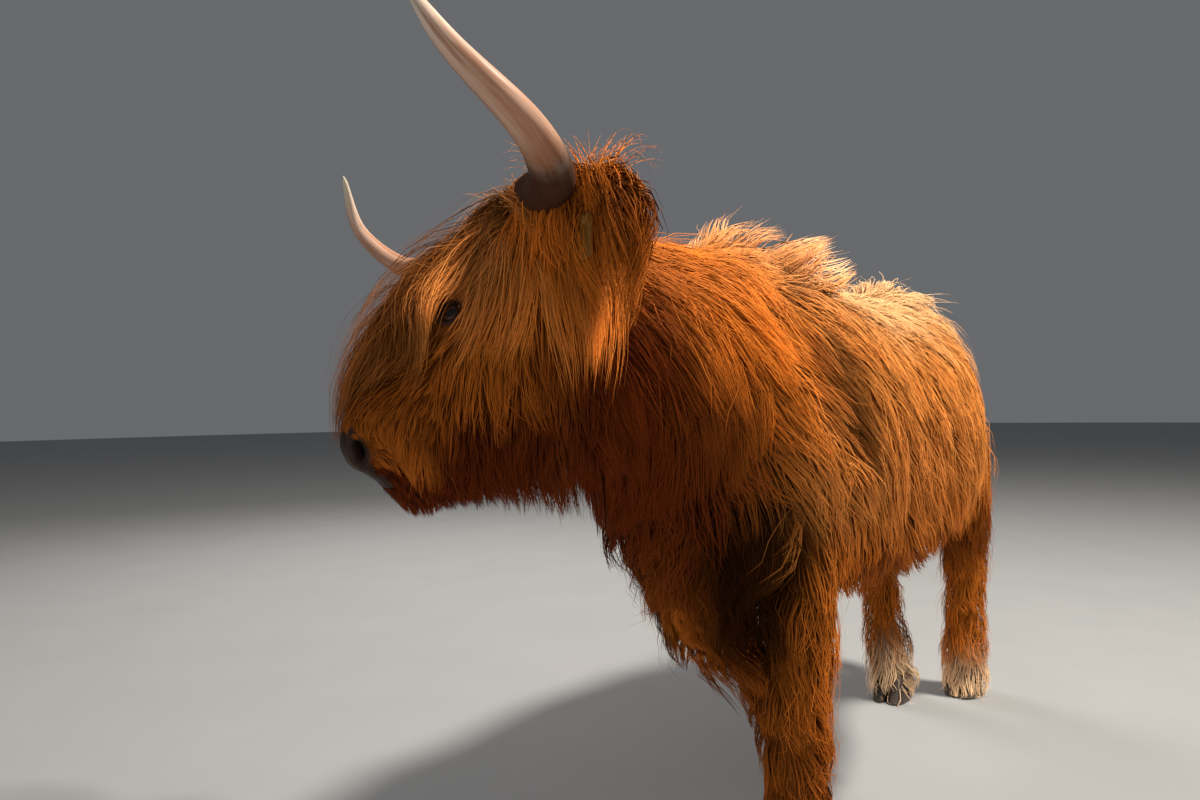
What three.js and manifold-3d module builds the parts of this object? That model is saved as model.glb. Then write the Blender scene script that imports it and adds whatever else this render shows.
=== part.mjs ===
// A highland cow, life size, standing still, its head low and turned to its right.
// Millimetres, +Z up. The cow faces -X, its left side is -Y, and it stands on Z = 0.
// Every surface of flesh is drawn at the tips of the coat, so the outline is the shaggy one.
// The pieces are parted by thin cuts, and the origin is the bottom centre of the whole.
import * as THREE from "three";
import { mergeVertices } from "three/addons/utils/BufferGeometryUtils.js";
import Module from "manifold-3d";

const wasm = await Module();
wasm.setup();

// ---------------------------------------------------------------- driving dimensions, mm and degrees
const CUT = 0.4; // width of the thin cut between neighbours
const TIDY = 0.08; // slivers left by the cuts are smoothed away within this

const BODY = {
  withers: 1186, // height of the back over the shoulders
  dip: 1113, // lowest point of the back
  hips: 1192, // height of the tuft over the hips
  belly: 470, // hem of the coat under the belly
  breast: -776, // foremost point of the chest
  buttock: 742, // rearmost point of the rump
  halfWidth: 345, // widest half width, at the barrel
};

const HEAD = {
  poll: [-848, 112, 1183], // the point between the horns that the head is laid out from
  turn: 26.4, // turned to its right
  drop: 51.6, // face line below level
  lean: -2.7,
  length: 500, // poll to the end of the muzzle
  muzzleStart: 432, // along the face line
};

const HORN = { baseRadius: 39, tipRadius: 3, steps: 16, sides: 10 };
const EYE = { radius: 21, along: 246, aside: 100, out: -8, socketRadius: 37 };
const EAR = { along: 0, aside: 117, out: -50, length: 185, droop: 6, swing: 3 };

// Where each foot stands and where its leg leaves the body: [x, y].
const LEGS = [
  { name: "foreleg_left", side: -1, fore: true, top: [-452, -168], knee: [-468, -166], foot: [-474, -160] },
  { name: "foreleg_right", side: 1, fore: true, top: [-366, 143], knee: [-212, 104], foot: [-36, 62] },
  { name: "hindleg_left", side: -1, fore: false, top: [575, -142], knee: [700, -130], foot: [728, -110] },
  { name: "hindleg_right", side: 1, fore: false, top: [556, 138], knee: [598, 98], foot: [560, 38] },
];
const ELBOW = 545; // height where a foreleg is parted from the trunk
const STIFLE = 640; // height where a hind leg is parted from the trunk
const HOOF = { length: 118, width: 98, height: 66, cleft: 5, toeSlope: 26 };
const TAIL = { root: [716, -12, 1062], dockRadius: 40, switchRadius: 62, tip: 330 };
const TAG = { width: 44, height: 62, thickness: 2.6, studRadius: 8, outward: 122, forward: 31, down: 40 };

// ---------------------------------------------------------------- small tools
const v3 = (x, y, z) => new THREE.Vector3(x, y, z);
const radians = THREE.MathUtils.degToRad;
const UP = v3(0, 0, 1);

// A closed mesh becomes a solid that can be joined and cut.
function solid(geometry) {
  const bare = geometry.index ? geometry.toNonIndexed() : geometry.clone();
  for (const name of Object.keys(bare.attributes)) if (name !== "position") bare.deleteAttribute(name);
  const merged = mergeVertices(bare, 1e-3);
  const vertProperties = new Float32Array(merged.attributes.position.array);
  const triVerts = new Uint32Array(merged.index.array);
  const made = new wasm.Manifold(new wasm.Mesh({ numProp: 3, vertProperties, triVerts }));
  if (made.volume() > 0) return made;
  for (let i = 0; i < triVerts.length; i += 3) {
    [triVerts[i + 1], triVerts[i + 2]] = [triVerts[i + 2], triVerts[i + 1]];
  }
  return new wasm.Manifold(new wasm.Mesh({ numProp: 3, vertProperties, triVerts }));
}

// A box between two corners, laid out along three directions from a point.
function block(low, high, frame = new THREE.Matrix4()) {
  const size = high.map((top, i) => top - low[i]);
  const middle = high.map((top, i) => (top + low[i]) / 2);
  const box = new THREE.BoxGeometry(...size).translate(...middle).applyMatrix4(frame);
  return solid(box);
}

// Rows of numbers, eased from each to the next by a smooth curve: `count` rows in all.
function smooth(rows, count) {
  const last = rows.length - 1;
  const at = (i) => rows[THREE.MathUtils.clamp(i, 0, last)];
  return Array.from({ length: count }, (_, k) => {
    const t = (k / (count - 1)) * last;
    const i = Math.min(Math.floor(t), last - 1);
    const f = t - i;
    return rows[0].map((_, c) => {
      const [a, b, d, e] = [at(i - 1)[c], at(i)[c], at(i + 1)[c], at(i + 2)[c]];
      const slopeIn = (d - a) / 2;
      const slopeOut = (e - b) / 2;
      return (
        (2 * f ** 3 - 3 * f ** 2 + 1) * b + (f ** 3 - 2 * f ** 2 + f) * slopeIn +
        (3 * f ** 2 - 2 * f ** 3) * d + (f ** 3 - f ** 2) * slopeOut
      );
    });
  });
}

// One closed cross-section: an oval with its own reach to the side, up and down.
// `roof` shapes its upper half and `keel` its lower: 2 is a true oval, more is boxier, less is a wedge.
function oval({ at, side, up, wide, high, low, roof = 2.2, keel = roof }, sides, grow = 0) {
  return Array.from({ length: sides }, (_, k) => {
    const turn = (2 * Math.PI * (k + 0.5)) / sides;
    const c = Math.cos(turn);
    const s = Math.sin(turn);
    const power = 2 / (s > 0 ? roof : keel);
    const round = (value) => Math.sign(value) * Math.abs(value) ** power;
    const reach = (s > 0 ? high : low) + grow;
    return at.clone().addScaledVector(side, (wide + grow) * round(c)).addScaledVector(up, reach * round(s));
  });
}

// The middle of a ring of points.
const middleOf = (ring) => ring.reduce((sum, p) => sum.add(p), v3(0, 0, 0)).divideScalar(ring.length);

// A skin over cross-sections, closed at both ends, which stand out by `grow`.
function loft(rings, grow = 0) {
  const sides = rings[0].length;
  for (const [end, next] of [[rings[0], rings[1]], [rings.at(-1), rings.at(-2)]]) {
    const outward = middleOf(end).sub(middleOf(next)).setLength(grow);
    for (const point of end) point.add(outward);
  }
  const points = rings.flat();
  const faces = [];
  for (let i = 0; i < rings.length - 1; i++) {
    for (let k = 0; k < sides; k++) {
      const a = i * sides + k;
      const b = i * sides + ((k + 1) % sides);
      faces.push(a, b, b + sides, a, b + sides, a + sides);
    }
  }
  for (const [start, flip] of [[0, true], [(rings.length - 1) * sides, false]]) {
    const centre = points.length;
    const ring = points.slice(start, start + sides);
    points.push(middleOf(ring));
    for (let k = 0; k < sides; k++) {
      const [a, b] = [start + k, start + ((k + 1) % sides)];
      faces.push(centre, ...(flip ? [b, a] : [a, b]));
    }
  }
  const geometry = new THREE.BufferGeometry().setFromPoints(points);
  geometry.setIndex(faces);
  return solid(geometry);
}

// A round limb along a curve, its radius a function of how far along it is.
function limb(curve, radius, steps, sides, grow = 0) {
  const { normals, binormals } = curve.computeFrenetFrames(steps, false);
  const rings = [];
  for (let i = 0; i <= steps; i++) {
    const r = radius(i / steps);
    const at = curve.getPointAt(i / steps);
    rings.push(oval({ at, side: normals[i], up: binormals[i], wide: r, high: r, low: r, roof: 2 }, sides, grow));
  }
  return loft(rings, grow);
}

// ---------------------------------------------------------------- head frame
// along: down the face from the poll; aside: to its right; out: away from the face.
const turn = radians(HEAD.turn);
const drop = radians(HEAD.drop);
const lean = radians(HEAD.lean);
const along = v3(-Math.cos(turn) * Math.cos(drop), Math.sin(turn) * Math.cos(drop), -Math.sin(drop));
const level = v3(Math.sin(turn), Math.cos(turn), 0);
const square = level.clone().cross(along);
const aside = level.clone().multiplyScalar(Math.cos(lean)).addScaledVector(square, Math.sin(lean));
const out = square.clone().multiplyScalar(Math.cos(lean)).addScaledVector(level, -Math.sin(lean));
const poll = v3(...HEAD.poll);
const onHead = (a, b, c) =>
  poll.clone().addScaledVector(along, a).addScaledVector(aside, b).addScaledVector(out, c);
const headFrame = new THREE.Matrix4().makeBasis(along, aside, out.clone().negate()).setPosition(poll);
// headFrame's third axis points into the face, which keeps the frame right-handed.

// ---------------------------------------------------------------- trunk and neck
// Columns: x, top of the back, hem of the coat, half width, height of the widest level, roof, keel.
function trunkSolid() {
  const b = BODY;
  const rows = smooth([
    [b.breast, 770, 672, 40, 720, 1.9, 1.5],
    [-738, 872, 628, 104, 770, 1.9, 1.3],
    [-694, 970, 580, 160, 815, 1.9, 1.2],
    [-648, 1044, 482, 200, 838, 1.85, 1.25],
    [-600, 1092, 428, 232, 842, 1.85, 1.35],
    [-540, 1134, 420, 264, 842, 1.8, 1.4],
    [-460, 1168, 434, 292, 832, 1.8, 1.5],
    [-375, b.withers, 448, 308, 815, 1.8, 2.1],
    [-275, 1156, 446, 316, 790, 1.75, 2.7],
    [-165, 1118, b.belly - 18, 328, 775, 1.85, 2.9],
    [-40, b.dip, b.belly - 12, b.halfWidth, 765, 2.0, 2.9],
    [80, 1112, b.belly - 2, b.halfWidth - 4, 765, 2.0, 2.8],
    [190, 1130, b.belly + 18, 326, 775, 1.95, 2.6],
    [300, 1165, b.belly + 52, 296, 800, 1.85, 2.4],
    [410, b.hips, b.belly + 95, 254, 830, 1.7, 2.3],
    [520, 1168, b.belly + 125, 226, 845, 1.7, 2.3],
    [620, 1124, b.belly + 140, 200, 850, 1.75, 2.3],
    [695, 1078, b.belly + 170, 164, 860, 1.9, 2.3],
    [b.buttock, 985, b.belly + 260, 92, 860, 2, 2],
  ], 24);
  const rings = rows.map(([x, top, hem, wide, widest, roof, keel]) =>
    oval({ at: v3(x, 0, widest), side: v3(0, 1, 0), up: UP, wide, high: top - widest, low: widest - hem,
      roof, keel }, 20));
  return loft(rings);
}

// Columns: x, y, height of the centre, reach up, reach down, half width, turn to the right, keel.
function neckSolid() {
  const rows = smooth([
    [-440, 0, 860, 312, 330, 246, 0, 1.4],
    [-540, 0, 862, 296, 360, 236, 3, 1.3],
    [-630, 14, 872, 276, 340, 220, 10, 1.4],
    [-705, 42, 894, 260, 276, 200, 17, 1.7],
    [-765, 72, 925, 256, 200, 182, 23, 2.0],
    [-820, 98, 950, 250, 206, 168, 26, 2.2],
    [-875, 122, 950, 215, 190, 150, 26, 2.2],
  ], 11);
  const rings = rows.map(([x, y, z, high, low, wide, yaw, keel]) => {
    const side = v3(Math.sin(radians(yaw)), Math.cos(radians(yaw)), 0);
    return oval({ at: v3(x, y, z), side, up: UP, wide, high, low, roof: 2.1, keel }, 20);
  });
  return loft(rings);
}

// ---------------------------------------------------------------- head
// Columns: along the face, front of the face, underside of the jaw, half width, depth of the widest level.
function headSolid(grow = 0) {
  const rows = smooth([
    [-62, -40, -150, 78, -95],
    [-30, 20, -215, 112, -100],
    [40, 38, -262, 128, -92],
    [120, 36, -288, 133, -82],
    [200, 32, -304, 130, -82],
    [270, 27, -306, 118, -88],
    [335, 22, -284, 103, -88],
    [395, 20, -232, 91, -80],
    [445, 18, -178, 83, -70],
    [478, 8, -156, 74, -66],
    [496, -16, -140, 52, -70],
  ], 14);
  const rings = rows.map(([a, front, under, wide, widest]) =>
    oval({ at: onHead(a, 0, widest), side: aside, up: out, wide, high: front - widest,
      low: widest - under, roof: 2.35 }, 20, grow));
  return loft(rings, grow);
}

// The long hair that falls from the poll over the face, thickest over the eyes.
// Columns: along the face, front, back, half width.
function forelockSolid() {
  const rows = smooth([
    [-96, -22, -52, 30],
    [-78, 6, -60, 62],
    [-46, 42, -60, 84],
    [10, 68, -30, 100],
    [90, 92, -20, 112],
    [180, 104, -20, 112],
    [270, 98, -18, 98],
    [350, 78, -10, 78],
    [405, 54, 0, 56],
    [430, 34, 10, 30],
  ], 11);
  const rings = rows.map(([a, front, back, wide]) =>
    oval({ at: onHead(a, 0, (front + back) / 2), side: aside, up: out, wide, high: (front - back) / 2,
      low: (front - back) / 2, roof: 2.3 }, 16));
  return loft(rings);
}

// Horns: out to the side, then forward, then up and a little in at the tip.
const hornPoints = [
  [10, 80, 0], [18, 103, 6], [43, 213, 9], [74, 320, 34], [104, 416, 90], [101, 425, 194], [52, 366, 280],
];
function hornSolid(side, grow = 0) {
  const curve = new THREE.CatmullRomCurve3(hornPoints.map(([a, b, c]) => onHead(a, b * side, c)));
  const { baseRadius, tipRadius, steps, sides } = HORN;
  const radius = (t) => tipRadius + (baseRadius - tipRadius) * (1 - t ** 1.25) ** 0.8;
  return limb(curve, radius, steps, sides, grow);
}

function eyeSolid(side, grow = 0) {
  const centre = onHead(EYE.along, EYE.aside * side, EYE.out);
  return solid(new THREE.SphereGeometry(EYE.radius + grow, 10, 8).translate(...centre.toArray()));
}

// The hollow in the coat that the eye looks out of.
function eyeHollow(side) {
  const centre = onHead(EYE.along, (EYE.aside + 34) * side, EYE.out);
  return solid(new THREE.SphereGeometry(EYE.socketRadius, 10, 8).translate(...centre.toArray()));
}

// An ear held out to the side, with the long hair that hangs from it.
// Columns: share of the length, half thickness, reach of the upper edge, reach of the hanging hair.
function earSolid(side, grow = 0) {
  const base = onHead(EAR.along, EAR.aside * side, EAR.out);
  const reach = aside.clone().multiplyScalar(side);
  const tip = reach.clone().addScaledVector(UP, -Math.sin(radians(EAR.droop)));
  tip.addScaledVector(v3(1, 0, 0), Math.sin(radians(EAR.swing))).normalize();
  const across = tip.clone().cross(UP).normalize();
  const rise = across.clone().cross(tip).multiplyScalar(Math.sign(across.clone().cross(tip).z));
  const rows = smooth([
    [-0.16, 22, 26, 34],
    [0.0, 27, 42, 74],
    [0.25, 32, 54, 134],
    [0.5, 35, 60, 184],
    [0.75, 34, 56, 200],
    [0.98, 26, 38, 158],
    [1.14, 12, 12, 66],
  ], 9);
  const rings = rows.map(([t, thick, high, low]) =>
    oval({ at: base.clone().addScaledVector(tip, t * EAR.length), side: across, up: rise, wide: thick, high, low,
      roof: 2.1 }, 12, grow));
  return loft(rings, grow);
}

// ---------------------------------------------------------------- legs and hooves
// Columns: share of the way from the top to the knee or hock (0 to 1) and on to the foot (1 to 2),
// height, half depth fore and aft, half width.
const FORELEG = [
  [0.0, 735, 40, 24], [0.06, 690, 92, 58], [0.25, 590, 98, 78], [0.55, 505, 84, 72], [0.85, 415, 68, 62],
  [1.0, 345, 63, 59],
  [1.2, 285, 59, 56], [1.5, 190, 57, 54], [1.8, 110, 64, 61], [2.0, 62, 70, 67], [2.0, 26, 67, 64],
];
const HINDLEG = [
  [0.0, 900, 60, 30], [0.08, 845, 126, 66], [0.24, 720, 150, 88], [0.5, 605, 128, 86], [0.8, 490, 96, 77],
  [1.0, 415, 80, 69],
  [1.2, 350, 72, 65], [1.5, 230, 66, 62], [1.8, 120, 70, 66], [2.0, 62, 74, 70], [2.0, 26, 70, 67],
];
function legSolid(leg, grow = 0) {
  const rings = smooth(leg.fore ? FORELEG : HINDLEG, 14).map(([t, z, deep, wide]) => {
    const [from, to] = t < 1 ? [leg.top, leg.knee] : [leg.knee, leg.foot];
    const f = t < 1 ? t : Math.min(t - 1, 1);
    const x = THREE.MathUtils.lerp(from[0], to[0], f);
    const y = THREE.MathUtils.lerp(from[1], to[1], f);
    return oval({ at: v3(x, y, z), side: v3(0, 1, 0), up: v3(1, 0, 0), wide, high: deep, low: deep,
      roof: 2.1 }, 12, grow);
  });
  return loft(rings, grow);
}

// A cloven hoof: two claws side by side, each flat below, joined at the heel.
function hoofSolid(leg, grow = 0) {
  const { length, width, height, cleft, toeSlope } = HOOF;
  const [x, y] = leg.foot;
  const claw = (side) => {
    const wide = (width - cleft) / 4;
    const rings = [0, 0.5, 1].map((t) => {
      const long = (length / 2) * (1 - 0.22 * t);
      const at = v3(x + toeSlope * t - 8, y + side * (wide + cleft / 2) * (1 - 0.05 * t), t * height);
      return oval({ at, side: v3(0, 1, 0), up: v3(1, 0, 0), wide: wide * (1 - 0.08 * t), high: long * 0.82,
        low: long, roof: 2.4 }, 10, grow);
    });
    return loft(rings, grow);
  };
  const heel = block([x + 14 - grow, y - 26 - grow, height * 0.3], [x + 42 + grow, y + 26 + grow, height * 0.98]);
  return claw(-1).add(claw(1)).add(heel);
}

// ---------------------------------------------------------------- tail
const tailCurve = new THREE.CatmullRomCurve3([
  v3(TAIL.root[0] - 60, TAIL.root[1], TAIL.root[2] + 8),
  v3(...TAIL.root),
  v3(TAIL.root[0] + 52, TAIL.root[1] - 4, TAIL.root[2] - 70),
  v3(TAIL.root[0] + 68, TAIL.root[1] - 8, TAIL.root[2] - 230),
  v3(TAIL.root[0] + 66, TAIL.root[1] - 6, TAIL.root[2] - 430),
  v3(TAIL.root[0] + 58, TAIL.root[1] - 2, TAIL.tip + 120),
  v3(TAIL.root[0] + 50, TAIL.root[1], TAIL.tip),
]);
const SWITCH_HEIGHT = 700; // where the bare dock ends and the long switch begins
function tailSolid(grow = 0) {
  const { dockRadius, switchRadius } = TAIL;
  const radius = (t) => {
    const swell = Math.exp(-(((t - 0.72) / 0.17) ** 2));
    const end = Math.min(1, (1 - t) / 0.14 + 0.12);
    return (dockRadius + (switchRadius - dockRadius) * swell) * end ** 0.6;
  };
  return limb(tailCurve, radius, 16, 10, grow);
}

// ---------------------------------------------------------------- ear tag
// A plain plastic tag that hangs in front of the near ear, with the stud that holds it.
function tagSolid(grow = 0) {
  const { width, height, thickness, studRadius, forward, down } = TAG;
  const hang = onHead(EAR.along, -(EAR.aside + TAG.outward), EAR.out).addScaledVector(UP, -down);
  const front = UP.clone().cross(aside).normalize();
  const across = UP.clone().cross(front).normalize();
  const frame = new THREE.Matrix4().makeBasis(across, UP, across.clone().cross(UP));
  frame.setPosition(hang.addScaledVector(front, forward));
  const shape = new THREE.Shape();
  shape.moveTo(-width / 2, -height).lineTo(width / 2, -height).lineTo(width / 2, -height * 0.3);
  shape.lineTo(width * 0.22, 0).lineTo(-width * 0.22, 0).lineTo(-width / 2, -height * 0.3).closePath();
  const depth = thickness + 2 * grow;
  const plate = solid(new THREE.ExtrudeGeometry(shape, { depth, bevelEnabled: false }).translate(0, 0, -grow));
  const pin = new THREE.CylinderGeometry(studRadius + grow, studRadius + grow, 16 + 2 * grow, 12);
  pin.rotateX(Math.PI / 2).translate(0, -height * 0.16, thickness / 2);
  return plate.add(solid(pin)).transform(frame.elements);
}

// ---------------------------------------------------------------- parting
// The half of a solid on the far side of a plane, its face half a cut away from the plane.
function beyond(body, point, normal) {
  const n = normal.clone().normalize();
  return body.trimByPlane(n.toArray(), n.dot(point) + CUT / 2);
}

function partBody() {
  const parts = {};
  const legs = LEGS.map((leg) => {
    const top = leg.fore ? ELBOW : STIFLE;
    const bend = leg.fore ? 345 : 415;
    const below = (body, height) => beyond(body, v3(0, 0, height), v3(0, 0, -1));
    const above = (body, height) => beyond(body, v3(0, 0, height), UP);
    const whole = legSolid(leg).subtract(hoofSolid(leg, CUT));
    parts[`${leg.name}_upper`] = above(below(whole, top), bend);
    parts[`${leg.name}_lower`] = below(whole, bend);
    parts[leg.name.replace("leg", "hoof")] = hoofSolid(leg);
    return { inside: above(legSolid(leg), top), room: below(legSolid(leg, CUT), top + CUT) };
  });

  // The hollow in the coat ahead of each foreleg, under the hem of the shoulder.
  const armpit = (side) =>
    solid(new THREE.SphereGeometry(1, 10, 8).scale(74, 110, 108).translate(-590, side * 290, 560));

  const tail = tailSolid();
  let trunk = trunkSolid();
  for (const leg of legs) trunk = trunk.add(leg.inside);
  trunk = trunk.subtract(armpit(-1)).subtract(armpit(1));
  const neck = neckSolid();
  const head = headSolid();

  // Neck and trunk are one mass, parted on a slant from before the withers to above the breast.
  const collar = v3(-500, 0, 1200);
  const collarNormal = v3(-560, 0, 300);
  const nape = v3(-790, 88, 950);
  const napeNormal = v3(-Math.cos(turn), Math.sin(turn), 0);
  const mass = trunk.add(neck);
  const fore = beyond(mass, collar, collarNormal);
  let rest = beyond(mass, collar, collarNormal.clone().negate());
  for (const leg of legs) rest = rest.subtract(leg.room);

  // The brisket hangs in front of the forelegs.
  const brisketBox = (grow) => block([-1200, -500, 0], [-590 + grow, 500, 625 + grow]);
  parts.brisket = rest.intersect(brisketBox(0));
  rest = rest.subtract(brisketBox(CUT));
  parts.trunk = rest.subtract(tailSolid(CUT));
  parts.tail = beyond(tail, v3(0, 0, SWITCH_HEIGHT), UP);
  parts.tail_switch = beyond(tail, v3(0, 0, SWITCH_HEIGHT), v3(0, 0, -1));

  // The head takes the front of the neck, and the neck keeps what lies behind the nape.
  const ears = [-1, 1].map((side) => ({ side, name: side < 0 ? "left" : "right" }));
  let skull = beyond(fore.add(head), nape, napeNormal);
  parts.neck = beyond(fore.add(head), nape, napeNormal.clone().negate());
  for (const { side, name } of ears) {
    skull = skull.subtract(eyeHollow(side)).subtract(eyeSolid(side, CUT));
    skull = skull.subtract(hornSolid(side, CUT)).subtract(earSolid(side, CUT));
    parts.neck = parts.neck.subtract(earSolid(side, CUT));
    parts[`eye_${name}`] = eyeSolid(side);
    parts[`horn_${name}`] = hornSolid(side);
    parts[`ear_${name}`] = earSolid(side).subtract(hornSolid(side, CUT));
  }
  parts.ear_left = parts.ear_left.subtract(tagSolid(CUT));
  parts.ear_tag = tagSolid();

  // The muzzle and the lower jaw, parted from the head by one box each.
  const muzzleBox = (grow) =>
    block([HEAD.muzzleStart - grow, -150, -60], [HEAD.length + 60, 150, 88 + grow], headFrame);
  const jawBox = (grow) => block([262 - grow, -200, 88 - grow], [HEAD.length + 60, 200, 400], headFrame);
  parts.muzzle = skull.intersect(muzzleBox(0)).subtract(jawBox(CUT));
  parts.lower_jaw = skull.intersect(jawBox(0));
  parts.head = skull.subtract(muzzleBox(CUT)).subtract(jawBox(CUT));

  let forelock = forelockSolid().subtract(headSolid(CUT));
  for (const side of [-1, 1]) {
    forelock = forelock.subtract(hornSolid(side, CUT)).subtract(earSolid(side, CUT));
    forelock = forelock.subtract(eyeHollow(side)).subtract(eyeSolid(side, CUT));
  }
  forelock = forelock.subtract(parts.neck).subtract(beyond(fore, nape, napeNormal));
  parts.forelock = forelock;
  return parts;
}

// ---------------------------------------------------------------- materials
const COLOURS = {
  coat: 0xb3561f, pale: 0xd08a48, dark: 0x7c3413, horn: 0xd9c4a0, eye: 0x1a0f0a, hoof: 0x2e2620,
  nose: 0x3a302b, tag: 0xc79a3a,
};
const material = (colour, roughness) =>
  new THREE.MeshStandardMaterial({ color: COLOURS[colour], roughness, metalness: 0 });
const finishes = {
  coat: material("coat", 0.85), pale: material("pale", 0.85), dark: material("dark", 0.9),
  horn: material("horn", 0.45), eye: material("eye", 0.1), hoof: material("hoof", 0.6),
  nose: material("nose", 0.4), tag: material("tag", 0.4),
};
const finishOf = (name) => {
  const kinds = [
    ["horn_", "horn"], ["eye_", "eye"], ["hoof", "hoof"], ["muzzle", "nose"], ["ear_tag", "tag"],
    ["brisket", "dark"], ["_lower", "dark"], ["forelock", "pale"], ["tail", "pale"],
  ];
  const found = kinds.find(([part]) => name.includes(part));
  return finishes[found ? found[1] : "coat"];
};

// ---------------------------------------------------------------- assembly
const cow = new THREE.Group();
function addPart(name, body) {
  const pieces = body.simplify(TIDY).decompose().sort((a, b) => b.volume() - a.volume());
  const { vertProperties, triVerts, numProp } = pieces[0].getMesh();
  const positions = new Float32Array((vertProperties.length / numProp) * 3);
  for (let i = 0; i < positions.length; i++) {
    positions[i] = vertProperties[Math.floor(i / 3) * numProp + (i % 3)];
  }
  const geometry = new THREE.BufferGeometry();
  geometry.setAttribute("position", new THREE.BufferAttribute(positions, 3));
  geometry.setIndex(Array.from(triVerts));
  geometry.computeVertexNormals();
  const mesh = new THREE.Mesh(geometry, finishOf(name));
  mesh.name = name;
  cow.add(mesh);
}

const parts = partBody();
for (const [name, body] of Object.entries(parts)) addPart(name, body);

// The origin moves to the bottom centre of the whole.
const box = new THREE.Box3().setFromObject(cow);
const centre = box.getCenter(new THREE.Vector3());
cow.position.set(-centre.x, -centre.y, -box.min.z);

export default cow;
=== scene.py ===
"""A life-size highland cow, standing still with its head low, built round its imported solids.

One skin stands in for all the flesh, a little inside the solids, and locks of solid hair fill
the room between it and their outline. Eyes, horns, hooves and the ear tag are pieces of their own.
Metres, +Z up: the cow faces -X, its left side is -Y, and it stands on Z = 0.
"""

from contextlib import contextmanager
from functools import reduce
from math import cos, radians, sin, tau

import bmesh
import bpy
import numpy as np
import openvdb
from mathutils import Matrix, Vector
from mathutils.kdtree import KDTree


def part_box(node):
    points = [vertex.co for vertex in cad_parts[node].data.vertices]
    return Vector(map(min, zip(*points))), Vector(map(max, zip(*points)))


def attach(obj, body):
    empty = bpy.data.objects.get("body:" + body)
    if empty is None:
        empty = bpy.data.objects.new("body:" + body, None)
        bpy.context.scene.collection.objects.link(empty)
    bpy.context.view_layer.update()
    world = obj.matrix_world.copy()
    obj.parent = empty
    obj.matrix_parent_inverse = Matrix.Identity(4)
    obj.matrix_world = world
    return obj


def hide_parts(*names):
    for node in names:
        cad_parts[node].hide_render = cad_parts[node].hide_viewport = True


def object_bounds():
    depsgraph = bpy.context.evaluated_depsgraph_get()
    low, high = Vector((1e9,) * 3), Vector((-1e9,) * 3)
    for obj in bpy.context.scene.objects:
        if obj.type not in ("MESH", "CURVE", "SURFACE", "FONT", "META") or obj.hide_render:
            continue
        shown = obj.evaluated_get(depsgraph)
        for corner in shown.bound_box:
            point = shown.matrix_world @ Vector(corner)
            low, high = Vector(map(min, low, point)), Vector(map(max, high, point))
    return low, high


bl_info = {
    "name": "Highland cow",
    "version": (1, 0, 0),
    "blender": (4, 5, 0),
    "location": "3D View > Sidebar > Cow",
    "description": "Skin, coat, horns, eyes, hooves and ear tag round the packed solids of a highland cow",
    "category": "Object",
}

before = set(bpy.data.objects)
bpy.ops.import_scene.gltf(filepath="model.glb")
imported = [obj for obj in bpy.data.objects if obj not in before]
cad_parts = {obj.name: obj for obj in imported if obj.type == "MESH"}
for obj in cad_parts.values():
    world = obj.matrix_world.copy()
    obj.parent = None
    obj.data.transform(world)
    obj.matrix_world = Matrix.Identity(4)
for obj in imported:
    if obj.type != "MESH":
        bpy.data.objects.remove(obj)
solids_low, solids_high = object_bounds()
FLOOR = solids_low.z

# ---------------------------------------------------------------- places taken from the solids
DOWN = np.array([0.0, 0.0, -1.0])


def unit(vectors):
    """Vectors along the last axis, each of length one."""
    return vectors / np.maximum(np.linalg.norm(vectors, axis=-1, keepdims=True), 1e-9)


def centre_of(node):
    low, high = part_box(node)
    return np.array((low + high) / 2)


def box_of(node):
    low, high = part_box(node)
    return np.array(low), np.array(high)


# The head's own directions: along the face from the poll, aside to its right, and out from the face.
HEAD_TURN, HEAD_DROP, HEAD_LEAN = radians(26.4), radians(51.6), radians(-2.7)
EYE_ALONG, EYE_ASIDE, EYE_OUT, EYE_RADIUS = 0.246, 0.100, -0.008, 0.021
EYE_SLANT = radians(25)
ALONG = np.array([-cos(HEAD_TURN) * cos(HEAD_DROP), sin(HEAD_TURN) * cos(HEAD_DROP), -sin(HEAD_DROP)])
LEVEL = np.array([sin(HEAD_TURN), cos(HEAD_TURN), 0.0])
SQUARE = np.cross(LEVEL, ALONG)
ASIDE = LEVEL * cos(HEAD_LEAN) + SQUARE * sin(HEAD_LEAN)
OUT = SQUARE * cos(HEAD_LEAN) - LEVEL * sin(HEAD_LEAN)
HEAD_AXES = np.array([ALONG, ASIDE, OUT])
POLL = (centre_of("eye_left") + centre_of("eye_right")) / 2 - EYE_ALONG * ALONG - EYE_OUT * OUT
SPINE = (box_of("trunk")[0][1] + box_of("trunk")[1][1]) / 2


def on_head(along, aside, out, side=1):
    """A point laid out from the poll in the head's own directions, or its mirror for side -1."""
    return POLL + along * ALONG + aside * side * ASIDE + out * OUT


def head_place(points):
    """Points in the head's own directions: along, aside and out of each."""
    return (points - POLL) @ HEAD_AXES.T


def ease(low, high, values):
    """0 below `low`, 1 above `high`, with a smooth change between."""
    t = np.clip((values - low) / (high - low), 0, 1)
    return t * t * (3 - 2 * t)


def ripple(points, scale, seed, waves=8):
    """Smooth noise, mostly between -1 and 1, that changes over about `scale`."""
    random = np.random.default_rng(seed)
    turns = unit(random.normal(size=(waves, 3))) * random.uniform(0.6, 1.5, (waves, 1)) * tau / scale / 2
    shifts = random.uniform(0, tau, waves)
    return np.sin(points @ turns.T + shifts).sum(1) / waves**0.5


# ---------------------------------------------------------------- distance fields
VOXEL, COARSE = 0.010, 0.030  # pitch of the fine grid and of the coarse one
MARGIN = 0.05  # room on the grids round the solids
BAND = 12  # voxels on each side of a surface where its distance is kept
GRID_LOW = np.floor((np.array(solids_low) - MARGIN) / COARSE) * COARSE
GRID_HIGH = np.ceil((np.array(solids_high) + MARGIN) / COARSE) * COARSE


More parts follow.
